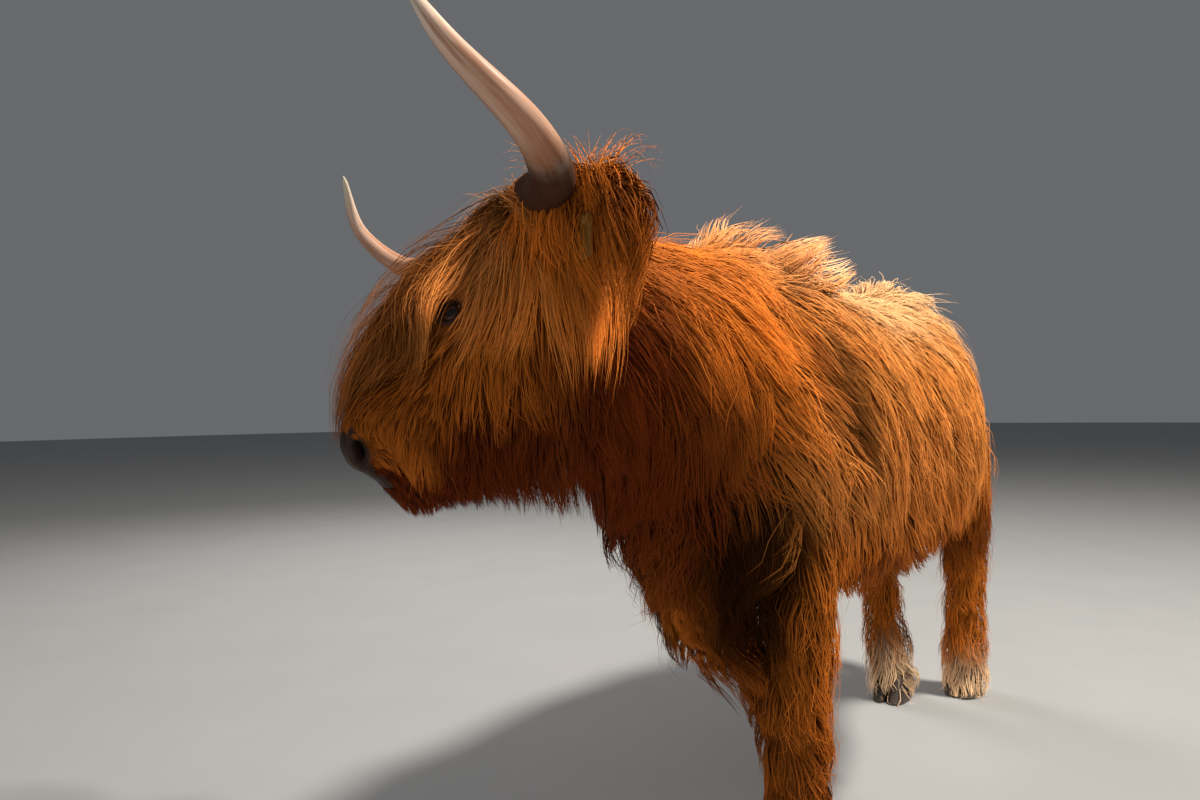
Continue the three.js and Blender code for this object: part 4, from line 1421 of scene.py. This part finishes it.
def build_horns(settings):
    """Horns: smooth tapering curves, ringed and rough near the base."""
    material = horn_material(settings)
    steps, around = 150, 40
    t = np.linspace(0, 1, steps)
    radius = (HORN_TIP + (HORN_BASE - HORN_TIP) * (1 - t**1.25) ** 0.8) * (0.55 + 0.45 * ease(0, 0.15, t))
    radius[-3:] *= np.array([0.86, 0.62, 0.25])
    angle = np.linspace(0, tau, around, endpoint=False)
    ringed = 0.0005 * np.sin(t * 150 + 2.0 * np.sin(t * 37)) * ease(0.42, 0.05, t)
    lumpy = 0.0008 * np.sin(3 * angle[None] + 9 * t[:, None]) * ease(0.6, 0.1, t)[:, None]
    reach = radius[:, None] * (1 + 0.03 * np.cos(2 * angle[None])) + ringed[:, None] + lumpy
    marks = np.stack((np.repeat(t, around), np.tile(angle, steps), np.zeros(steps * around)), -1)
    marks = np.concatenate((marks, [[0, 0, 0], [1, 0, 0]]))
    c, s = np.cos(angle)[None, :, None], np.sin(angle)[None, :, None]
    for side, name in SIDES:
        path = smooth_route([on_head(*place, side) for place in HORN_ROUTE], steps)
        first, second = carry_frame(path)
        circle = c * first[:, None] + s * second[:, None]
        horn = rings_mesh(f"horn_shape_{name}", path[:, None] + circle * reach[..., None])
        length = np.linalg.norm(np.diff(path, axis=0), axis=1).sum()
        grain = (marks[:, 0] * length, np.cos(marks[:, 1]) * 0.03, np.sin(marks[:, 1]) * 0.03)
        add_attribute(horn.data, "horn", marks)
        add_attribute(horn.data, "horn_place", np.stack(grain, -1))
        finish_piece(horn, material, "horn", f"horn_{name}")


def build_tag(settings):
    """The ear tag: a thin rounded plate on its stud."""
    tag = bpy.data.objects.new("ear_tag_plate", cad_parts["ear_tag"].data.copy())
    bpy.context.scene.collection.objects.link(tag)
    with edited(tag.data) as work:
        bmesh.ops.remove_doubles(work, verts=work.verts, dist=1e-5)
        bmesh.ops.dissolve_limit(work, angle_limit=radians(2), verts=work.verts, edges=work.edges)
    bevel = tag.modifiers.new("rounded", "BEVEL")
    bevel.width, bevel.segments, bevel.angle_limit = 0.0007, 3, radians(30)
    tag.data.shade_smooth()
    finish_piece(tag, tag_material(settings), "tag", "ear_tag")


CLEFT = 0.004  # width of the gap between the claws of a hoof
SOLE = 0.94  # the sole's size, as a share of the claw's just above it
DEW_CLAW = 0.012  # half width of a dew claw


def hoof_rings(node_name, side):
    """One claw of a hoof: flat on the inside and below, rounded outside, sloping back as it rises."""
    low, high = box_of(node_name)
    middle = (low + high) / 2
    length, width, height = high - low
    angle = np.linspace(0, tau, 36, endpoint=False)
    c, s = np.cos(angle), np.sin(angle)
    flat = np.where(s * side < 0, 0.86, 1.0) * (1 - 0.10 * np.clip(-c, 0, 1) * np.abs(s))
    tip_in = -side * 0.006 * np.clip(-c, 0, 1) ** 3
    rings = []
    for t in np.linspace(0, 1, 16):
        reach = length / 2 * (1 - 0.20 * t) * (0.97 if t > 0 else SOLE)
        wide = (width - CLEFT) / 4 * (1 - 0.08 * t) * (1 if t > 0 else SOLE)
        x = middle[0] - 0.004 + 0.018 * t + reach * np.sign(c) * np.abs(c) ** 0.85
        y = middle[1] + side * (wide + CLEFT / 2) + wide * np.sign(s) * np.abs(s) ** 0.8 * flat + tip_in
        rings.append(np.stack((x, y, np.full_like(x, low[2] + height * t)), -1))
    rings.append(rings[-1] * 0.6 + rings[-1].mean(0) * 0.4)
    return np.array(rings)


def dew_rings(spot):
    """One dew claw: a short blunt horn that slopes down and back."""
    angle = np.linspace(0, tau, 16, endpoint=False)
    circle = np.stack((0.5 * np.cos(angle), np.sin(angle), 0.5 * np.cos(angle)), -1) * DEW_CLAW
    return np.array([spot + np.array([0.016 * t, 0, -0.020 * t]) + circle * (1 - t**2.5) ** 0.5
                     for t in np.linspace(0, 0.98, 7)])


def build_hooves(settings):
    """Hooves: two claws each, with a pair of dew claws behind."""
    material = hoof_material(settings)
    for node_name in HOOVES:
        low, high = box_of(node_name)
        claws = [rings_mesh("claw", hoof_rings(node_name, side)) for side in (-1, 1)]
        for side in (-1, 1):
            spot = np.array([high[0] - 0.018, (low[1] + high[1]) / 2 + side * 0.018, high[2] + 0.022])
            claws.append(rings_mesh("dew_claw", dew_rings(spot)))
        hoof = join(claws)
        end, name = node_name.split("hoof_")
        hoof.name = f"hoof_{end}_{name}"
        finish_piece(hoof, material, "hoof", node_name)


# ---------------------------------------------------------------- coat pieces
def is_forehead(middle, _):
    along, aside, out = head_place(middle).T
    return (along < 0.235) & (out > -0.060 - 0.10 * along) & (np.abs(aside) < 0.095)


def round_eyes(points):
    """A push away from each eye, so that long hair parts round it."""
    push = 0
    for side in (-1, 1):
        offset = points - eye_centre(side)
        reach = np.linalg.norm(offset, axis=1, keepdims=True)
        push = push + offset / np.maximum(reach, 1e-4) * np.exp(-((reach / 0.050) ** 2))
    return push


def head_unwrap():
    return round_axis(on_head(-0.10, 0, -0.12), on_head(0.52, 0, -0.10), -OUT)


FORELOCK = 0.36  # length of the longest locks over the face
NOSTRIL_CLEAR, EYE_CLEAR = 0.019, 0.024  # how far from the middle of each the hair starts


def build_face_coat(settings):
    """The long hair over the face, the short hair of cheeks and jaw, and the ears' fringes."""

    def fall(points):
        aside = head_place(points)[:, 1]
        way = ALONG[None] + ASIDE[None] * np.clip(aside * 1.6, -0.25, 0.25)[:, None]
        by_horn = np.exp(-(np.clip(horn_root(points), 0, 1) / 0.022) ** 2)
        collar = 1.5 * np.sign(aside) * by_horn * ease(0.15, 0.10, np.abs(aside))
        return unit(way + round_eyes(points) * 0.5 + ASIDE[None] * collar[:, None])

    def reach(roots):
        along, aside, _ = head_place(roots).T
        return FORELOCK * (1 - 0.9 * np.clip(along, 0, 0.3)) * (1 - 0.35 * ease(0.04, 0.09, np.abs(aside)))

    def limp(roots):
        return 0.03 + 0.30 * ease(0.03, 0.10, np.abs(head_place(roots)[:, 1]))

    coat_piece("coat_forelock", roots_on(["head", "neck"], is_forehead), 5700, 7, 0.0022, head_unwrap(),
               101, settings, ["forelock"], comb=fall, length=reach, droop=limp, wave=0.0020, curl=0.03,
               clump=0.014, pull=0.45, rise=0.3, lift=0.4, waves=0.8, slip=0.006, loose=0.08, bunch=4.0,
               stray=0.12)

    rest = roots_on(["head", "muzzle", "lower_jaw"], lambda middle, _: ~is_forehead(middle, _))
    middle = Body.fields.roots["middle"]
    along, aside, out = head_place(middle).T
    rest *= 1 + 1.5 * ease(0.34, 0.44, along)
    nose_pad = (along - nose_side(aside) + 0.15 * np.clip(out + 0.01, -0.05, 0.05) > 0.462) & (out > -0.085)
    nostrils = [np.linalg.norm(middle - nostril_middle(side), axis=1) < NOSTRIL_CLEAR for side in (-1, 1)]
    rest[nose_pad | np.any(nostrils, axis=0) | (nearest_eye(middle) < EYE_CLEAR)] = 0

    def beard(roots):
        along, _, out = head_place(roots).T
        tuft = np.exp(-((along - 0.33) / 0.05) ** 2)
        return 0.004 + (0.018 + 0.042 * tuft) * ease(-0.11, -0.17, out)

    coat_piece("coat_face", rest, 9300, 4, 0.0020, head_unwrap(), 111, settings, clump=0.014, pull=0.55,
               rise=0.6, slip=beard, ragged=0.016)
    build_ear_coat(settings)


EAR_RINGS = 7  # rings of points in a lock of the ears


def ear_faces():
    """The triangles of both sheets of both ears, as the places that locks can grow from."""
    corners, normals = [], []
    for side in (-1, 1):
        face = ear_frame(side)[3]
        for sheet, way in zip(ear_grid(side), (face, -face)):
            a, b = sheet[:-1, :-1].reshape(-1, 3), sheet[1:, :-1].reshape(-1, 3)
            c, d = sheet[1:, 1:].reshape(-1, 3), sheet[:-1, 1:].reshape(-1, 3)
            corners += [np.stack((a, b, c), 1), np.stack((a, c, d), 1)]
            normals += [np.tile(way, (len(a) * 2, 1))]
    corners = np.concatenate(corners)
    return {"corners": corners, "areas": areas_of(corners), "normals": np.concatenate(normals)}


def build_ear_coat(settings):
    """Hair on both ears: short inside, combed outwards and down, and long where it hangs."""
    found = ear_faces()
    level = np.mean([ear_frame(-1)[0][2], ear_frame(1)[0][2]])
    middle = found["corners"].mean(1)
    crest = ease(0.0, 0.035, middle[:, 2] - level)
    reach = ease(0.09, 0.17, np.abs(head_place(middle)[:, 1]) - EAR_BASE[1])
    locks = scatter(found, int(4000 * settings.fullness), 121, 1 + 1.5 * crest + 1.5 * reach)
    random, count = locks.random, locks.count
    out_from_head = head_place(locks.roots)[:, 1]
    outward = ASIDE[None] * np.sign(out_from_head)[:, None]
    high = ease(-0.02, 0.04, locks.roots[:, 2] - level)
    tip = ease(0.10, 0.18, np.abs(out_from_head) - EAR_BASE[1])[:, None]
    length = (0.20 - 0.05 * high) * random.uniform(0.60, 1.20, count)
    start_lift = random.uniform(0.1, 1, count)[:, None]
    locks.loose = random.uniform(0, 1, count) < 0.06
    wisp = (locks.loose & (high > 0.5))[:, None]
    locks.chance = np.where(locks.loose, 0.95, locks.chance * 0.6 + 0.4 * random.uniform(0, 1, count))
    centres = locks.gather(0.016)
    sweep = random.normal(0, 0.14, (count, 3))[centres] + random.normal(0, 0.05, (count, 3))
    rise = 0.9 * high[:, None] * start_lift + 0.8 * wisp
    heading = unit(locks.normals * (0.15 + 0.65 * start_lift) + outward * (0.25 + 0.55 * tip)
                   - DOWN * rise + sweep)
    at = locks.roots.copy()
    paths = [at.copy()]
    limit = random.uniform(-0.012, 0.008, count)[centres] + 0.008 * high + random.normal(0, 0.003, count)
    limit = (np.where(locks.loose, limit + 0.016, limit) + 0.02 * wisp[:, 0])[:, None]
    fall = (DOWN + outward * 0.05 + sweep * 0.5) * (1 - 0.6 * wisp)
    step = length / (EAR_RINGS - 1) / SUBSTEPS
    for stage in range(1, (EAR_RINGS - 1) * SUBSTEPS + 1):
        t = stage / (EAR_RINGS - 1) / SUBSTEPS
        edge, away = Body.fields.outline.read(at)
        press = np.clip((edge[:, None] - limit) / 0.016, 0, 1.5)
        heading = unit(heading + fall * (0.16 + 0.16 * t) - away * press * 0.30)
        at = at + heading * step[:, None]
        if stage % SUBSTEPS == 0:
            paths.append(at.copy())
    paths = trim(np.stack(paths, 1), Body.fields.outline, 0.045)
    t = np.linspace(0, 1, EAR_RINGS)[None, :, None]
    hold = np.where(locks.loose, 0.1, random.uniform(0.4, 1, count))[:, None, None]
    locks.paths = paths + (paths[centres] - paths) * 0.45 * hold * t**1.5
    open_windows(locks)
    locks.normals = Body.fields.outline.read(locks.paths[:, EAR_RINGS // 2])[1]
    unwrap = round_axis(on_head(0, -0.3, -0.05), on_head(0, 0.3, -0.05), DOWN)
    made = lock_mesh("coat_ears", locks, 0.0024, unwrap, blend=0.42)
    finish_piece(made, coat_material(settings), "coat", "ear_left", "ear_right")


BREAST_X = box_of("brisket")[1][0]


def is_breast(middle, _):
    return (middle[:, 0] < BREAST_X + 0.10) & (middle[:, 2] < 0.72)


def is_back(middle, normals):
    return (normals[:, 2] > 0.72) & (middle[:, 2] > 0.9)


def neck_side(sign):
    """A test for the left (-1) or right (1) side of the neck."""
    def test(middle, _):
        line = SPINE + 0.05 + (middle[:, 0] + 0.45) * -0.35
        return (middle[:, 1] - line) * sign > 0
    return test


def trunk_side(sign):
    """A test for the left (-1) or right (1) side of the trunk, without its breast and back."""
    def test(middle, normals):
        left_over = ~is_breast(middle, normals) & ~is_back(middle, normals)
        return left_over & ((middle[:, 1] - SPINE) * sign > 0)
    return test


def build_body_coat(settings):
    """Neck, breast, sides, belly and back."""
    low, high = box_of("neck")
    lean = np.array([0.3, -0.05, 0.02])
    neck_round = round_axis((low + high) / 2 - lean, (low + high) / 2 + lean, DOWN)
    left, right = (roots_on(["neck"], neck_side(sign)) for sign in (-1, 1))
    coat_piece("coat_neck_left", left, 7400, 5, 0.0031, neck_round, 201, settings)
    coat_piece("coat_neck_right", right, 3900, 4, 0.0038, neck_round, 211, settings)

    def between_legs(roots):
        return 0.010 + 0.060 * ease(0.62, 0.54, roots[:, 2]) * ease(-0.40, -0.32, roots[:, 0])

    coat_piece("coat_breast", roots_on(["brisket", "trunk"], is_breast), 5000, 6, 0.0034, neck_round, 221,
               settings, ["brisket"], length=0.18, curl=1.0, wave=0.013, droop=0.85, pull=0.7, waves=1.6,
               slip=between_legs, ragged=0.030, clump=0.026)

    low, high = box_of("trunk")
    level = (low[2] + high[2]) / 2
    barrel_round = round_axis([low[0], SPINE, level], [high[0], SPINE, level], DOWN)

    def hem(roots):
        return np.exp(-((roots[:, 0] + 0.38) / 0.14) ** 2 - ((roots[:, 2] - 0.83) / 0.08) ** 2)

    left, right = (roots_on(["trunk"], trunk_side(sign)) for sign in (-1, 1))
    coat_piece("coat_side_left", left, 9000, 5, 0.0036, barrel_round, 231, settings,
               curl=lambda roots: 0.12 + 0.9 * hem(roots), slip=lambda roots: 0.003 + 0.032 * hem(roots))
    coat_piece("coat_side_right", right, 4800, 4, 0.0046, barrel_round, 241, settings)
    back = roots_on(["trunk"], lambda m, n: ~is_breast(m, n) & is_back(m, n))

    def tufts(roots):
        withers = ease(-0.48, -0.30, roots[:, 0]) * ease(-0.04, -0.10, roots[:, 0])
        hips = np.exp(-((roots[:, 0] - 0.66) / 0.12) ** 2)
        return 1.7 * np.maximum(withers, hips)

    coat_piece("coat_back", back, 4600, 5, 0.0034, barrel_round, 251, settings, lift=0.3, slip=0.010,
               stand=tufts, loose=0.12, clump=0.042, pull=0.75)


def round_upright(low, high):
    """An unwrap round the upright line through the middle of a box, opened behind."""
    middle = (low + high) / 2
    return round_axis([middle[0], middle[1], high[2]], [middle[0], middle[1], low[2]], [1, 0, 0])


def build_leg_coat(settings):
    """The legs' wavy hair, down over the hooves."""

    def slip(roots):
        return 0.006 + 0.026 * ease(0.26, 0.45, roots[:, 2])

    for end, seed in (("fore", 301), ("hind", 311)):
        names = [name for name in LEGS if name.startswith(end)]
        low = np.min([box_of(name)[0] for name in names], axis=0)
        high = np.max([box_of(name)[1] for name in names], axis=0)
        coat_piece(f"coat_{end}_legs", roots_on(names), 5200, 5, 0.0034, round_upright(low, high), seed,
                   settings, waves=1.3, clump=0.034, ragged=0.018, slip=slip, stand=0.4)


def build_tail_coat(settings):
    """The tail's dock hair and its long switch."""
    low, high = box_of("tail")

    def length(roots):
        return np.clip(0.09 + (high[2] - 0.12 - roots[:, 2]) * 0.9, 0.09, 0.40)

    def fall(points):
        return np.tile(DOWN, (len(points), 1))

    density = roots_on(["tail"]) * (1 + 3 * ease(0.85, 0.70, Body.fields.roots["middle"][:, 2]))
    coat_piece("coat_tail", density, 1750, 7, 0.0036, round_upright(low, high), 401, settings,
               ["tail_switch"], comb=fall, length=length, droop=0.8, wave=0.006, curl=0.3, waves=2.0,
               rise=0.5, slip=0.012)


# ---------------------------------------------------------------- stage
CAMERA_FROM_POLL = Vector((-0.959, -0.925, -0.324))
CAMERA_AZIMUTH, CAMERA_RISE, CAMERA_ROLL = radians(-50.9), radians(0.3), radians(-0.9)
CAMERA_LENS, SENSOR_WIDTH = 24.6, 36
CAMERA_NEAR, CAMERA_FAR = 0.05, 100
FLOOR_RADIUS, FLOOR_GAP = 30, 0.001  # the gap keeps the floor just under the hooves
FLOOR_TONES = (0.30, 0.305, 0.31, 1), (0.34, 0.34, 0.34, 1)
ROOM_COLOUR = (0.92, 0.95, 1.0, 1)
LAMPS = [  # name, place from the cow's middle, size, share of the key light, colour
    ("Key", (1.17, -2.75, 5.19), 0.8, 1.0, (1.0, 0.94, 0.84)),
    ("Fill", (-3.4, -1.6, 1.4), 3.0, 0.03, (0.90, 0.94, 1.0)),
    ("Rear", (1.6, 3.5, 3.0), 2.4, 0.20, (1.0, 0.97, 0.92)),
]


def build_stage(settings):
    """A plain pale floor and wall of light, soft lamps, and the camera near the cow's left cheek."""
    bpy.ops.mesh.primitive_circle_add(vertices=96, radius=FLOOR_RADIUS, fill_type="NGON",
                                      location=(0, 0, FLOOR - FLOOR_GAP))
    floor = bpy.context.object
    floor.name = "floor"
    made, tree, shader = new_material("Pale floor")
    tone = noise(tree, object_place(tree), 3.0, 3.0)
    feed(tree, shader, {"Base Color": blend_colour(tree, tone, *FLOOR_TONES), "Roughness": 0.8})
    floor.data.materials.append(made)

    world = bpy.data.worlds.new("Pale room")
    world.use_nodes = True
    feed(world.node_tree, world.node_tree.nodes["Background"],
         {"Color": ROOM_COLOUR, "Strength": settings.room_light})
    bpy.context.scene.world = world
    bpy.context.scene.view_settings.view_transform = "Standard"

    middle = Vector((solids_low + solids_high) / 2)
    for name, offset, size, share, colour in LAMPS:
        light = bpy.data.lights.new(name, "AREA")
        light.shape, light.size, light.energy, light.color = "DISK", size, settings.key_light * share, colour
        lamp = bpy.data.objects.new(name, light)
        lamp.location = middle + Vector(offset)
        lamp.visible_glossy = name == "Key"
        lamp.rotation_euler = (-Vector(offset)).to_track_quat("-Z", "Y").to_euler()
        bpy.context.scene.collection.objects.link(lamp)

    camera = bpy.data.objects.new("Camera", bpy.data.cameras.new("Camera"))
    camera.data.sensor_width, camera.data.lens = SENSOR_WIDTH, CAMERA_LENS
    camera.data.clip_start, camera.data.clip_end = CAMERA_NEAR, CAMERA_FAR
    level = cos(CAMERA_RISE)
    forward = Vector((-sin(CAMERA_AZIMUTH) * level, cos(CAMERA_AZIMUTH) * level, sin(CAMERA_RISE)))
    turned = forward.to_track_quat("-Z", "Y").to_matrix() @ Matrix.Rotation(CAMERA_ROLL, 3, "Z")
    camera.matrix_world = Matrix.Translation(Vector(POLL) + CAMERA_FROM_POLL) @ turned.to_4x4()
    bpy.context.scene.collection.objects.link(camera)
    bpy.context.scene.camera = camera


# ---------------------------------------------------------------- settings, operators and panel
def colour_setting(name, description, default):
    return bpy.props.FloatVectorProperty(name=name, description=description, default=default, size=3,
                                         subtype="COLOR", min=0, max=1)


class CowSettings(bpy.types.PropertyGroup):
    """What a user would change of the cow's looks."""

    coat_colour: colour_setting("Coat", "Colour of most of the coat", (0.86, 0.235, 0.027))
    # The pale coat is partly sun-bleached hair and partly painted light.
    pale_colour: colour_setting("Pale coat", "Colour of the sun-bleached back and tips", (0.95, 0.50, 0.17))
    # The dark coat also serves as painted shade under the jaw, on the belly, the ears and the cheeks.
    dark_and_shade_colour: colour_setting("Dark coat", "Colour of the breast and the lower legs", (0.15, 0.026, 0.004))
    # On the back's tufts the bleached coat is partly sun-bleached hair and partly painted light.
    bleached_colour: colour_setting("Bleached coat", "Colour of the tufts on the back and the pasterns",
                                    (0.95, 0.63, 0.37))
    horn_colour: colour_setting("Horn", "Main colour of the horns", (0.95, 0.74, 0.59))
    horn_shade: colour_setting("Horn streaks", "Colour of the streaks in the horns", (0.40, 0.23, 0.15))
    horn_base: colour_setting("Horn base", "Colour of the horns near the head", (0.055, 0.016, 0.006))
    hoof_colour: colour_setting("Hoof", "Colour of the hooves", (0.030, 0.022, 0.017))
    nose_colour: colour_setting("Nose", "Colour of the bare skin of the nose", (0.030, 0.016, 0.011))
    # The tag's ochre is darkened as painted shade.
    tag_colour: colour_setting("Ear tag", "Colour of the ear tag", (0.40, 0.19, 0.030))
    fullness: bpy.props.FloatProperty(name="Fullness", description="Share of the full number of locks",
                                      default=1.0, min=0.05, max=1.0, subtype="FACTOR")
    key_light: bpy.props.FloatProperty(name="Key light", description="Power of the main lamp, in watts",
                                       default=640, min=0, unit="POWER")
    room_light: bpy.props.FloatProperty(name="Room light", description="Brightness of the room",
                                        default=0.15, min=0)


class COW_OT_stage(bpy.types.Operator):
    """Build the floor, the lights and the camera"""

    bl_idname = "cow.stage"
    bl_label = "Stage"

    def execute(self, context):
        build_stage(context.scene.cow)
        return {"FINISHED"}


class COW_OT_skin(bpy.types.Operator):
    """Build the skin and the fields that the coat grows by"""

    bl_idname = "cow.skin"
    bl_label = "Skin"

    def execute(self, context):
        Body.fields = build_skin(context.scene.cow)
        return {"FINISHED"}


class COW_OT_eyes(bpy.types.Operator):
    """Build the eyes"""

    bl_idname = "cow.eyes"
    bl_label = "Eyes"

    def execute(self, context):
        build_eyes()
        return {"FINISHED"}


class COW_OT_horns(bpy.types.Operator):
    """Build the horns"""

    bl_idname = "cow.horns"
    bl_label = "Horns"

    def execute(self, context):
        build_horns(context.scene.cow)
        return {"FINISHED"}


class COW_OT_hooves(bpy.types.Operator):
    """Build the hooves"""

    bl_idname = "cow.hooves"
    bl_label = "Hooves"

    def execute(self, context):
        build_hooves(context.scene.cow)
        return {"FINISHED"}


class COW_OT_ear_tag(bpy.types.Operator):
    """Build the ear tag"""

    bl_idname = "cow.ear_tag"
    bl_label = "Ear tag"

    def execute(self, context):
        build_tag(context.scene.cow)
        return {"FINISHED"}


class CoatOperator:
    """What the coat operators share: they need the skin first."""

    def execute(self, context):
        if Body.fields is None:
            raise RuntimeError("the coat grows on the skin, so build the skin first")
        self.build(context.scene.cow)
        return {"FINISHED"}


class COW_OT_face_coat(CoatOperator, bpy.types.Operator):
    """Grow the hair of the face, forelock and ears"""

    bl_idname = "cow.face_coat"
    bl_label = "Face coat"
    build = staticmethod(build_face_coat)


class COW_OT_body_coat(CoatOperator, bpy.types.Operator):
    """Grow the hair of the neck, breast, sides and back"""

    bl_idname = "cow.body_coat"
    bl_label = "Body coat"
    build = staticmethod(build_body_coat)


class COW_OT_leg_coat(CoatOperator, bpy.types.Operator):
    """Grow the hair of the legs"""

    bl_idname = "cow.leg_coat"
    bl_label = "Leg coat"
    build = staticmethod(build_leg_coat)


class COW_OT_tail_coat(CoatOperator, bpy.types.Operator):
    """Grow the hair of the tail"""

    bl_idname = "cow.tail_coat"
    bl_label = "Tail coat"
    build = staticmethod(build_tail_coat)


OPERATORS = [COW_OT_stage, COW_OT_skin, COW_OT_eyes, COW_OT_horns, COW_OT_hooves, COW_OT_ear_tag,
             COW_OT_face_coat, COW_OT_body_coat, COW_OT_leg_coat, COW_OT_tail_coat]


class COW_PT_panel(bpy.types.Panel):
    """The cow's settings and pieces, in the sidebar"""

    bl_label = "Highland cow"
    bl_idname = "COW_PT_panel"
    bl_space_type = "VIEW_3D"
    bl_region_type = "UI"
    bl_category = "Cow"

    def draw(self, context):
        settings = context.scene.cow
        for name in CowSettings.__annotations__:
            self.layout.prop(settings, name)
        for operator in OPERATORS:
            self.layout.operator(operator.bl_idname)


def register():
    for made in (CowSettings, *OPERATORS, COW_PT_panel):
        bpy.utils.register_class(made)
    bpy.types.Scene.cow = bpy.props.PointerProperty(type=CowSettings)


def unregister():
    del bpy.types.Scene.cow
    for made in (COW_PT_panel, *reversed(OPERATORS), CowSettings):
        bpy.utils.unregister_class(made)


def main():
    """Builds every piece in order."""
    register()
    for operator in OPERATORS:
        group, name = operator.bl_idname.split(".")
        getattr(getattr(bpy.ops, group), name)()


if __name__ == "__main__":
    main()
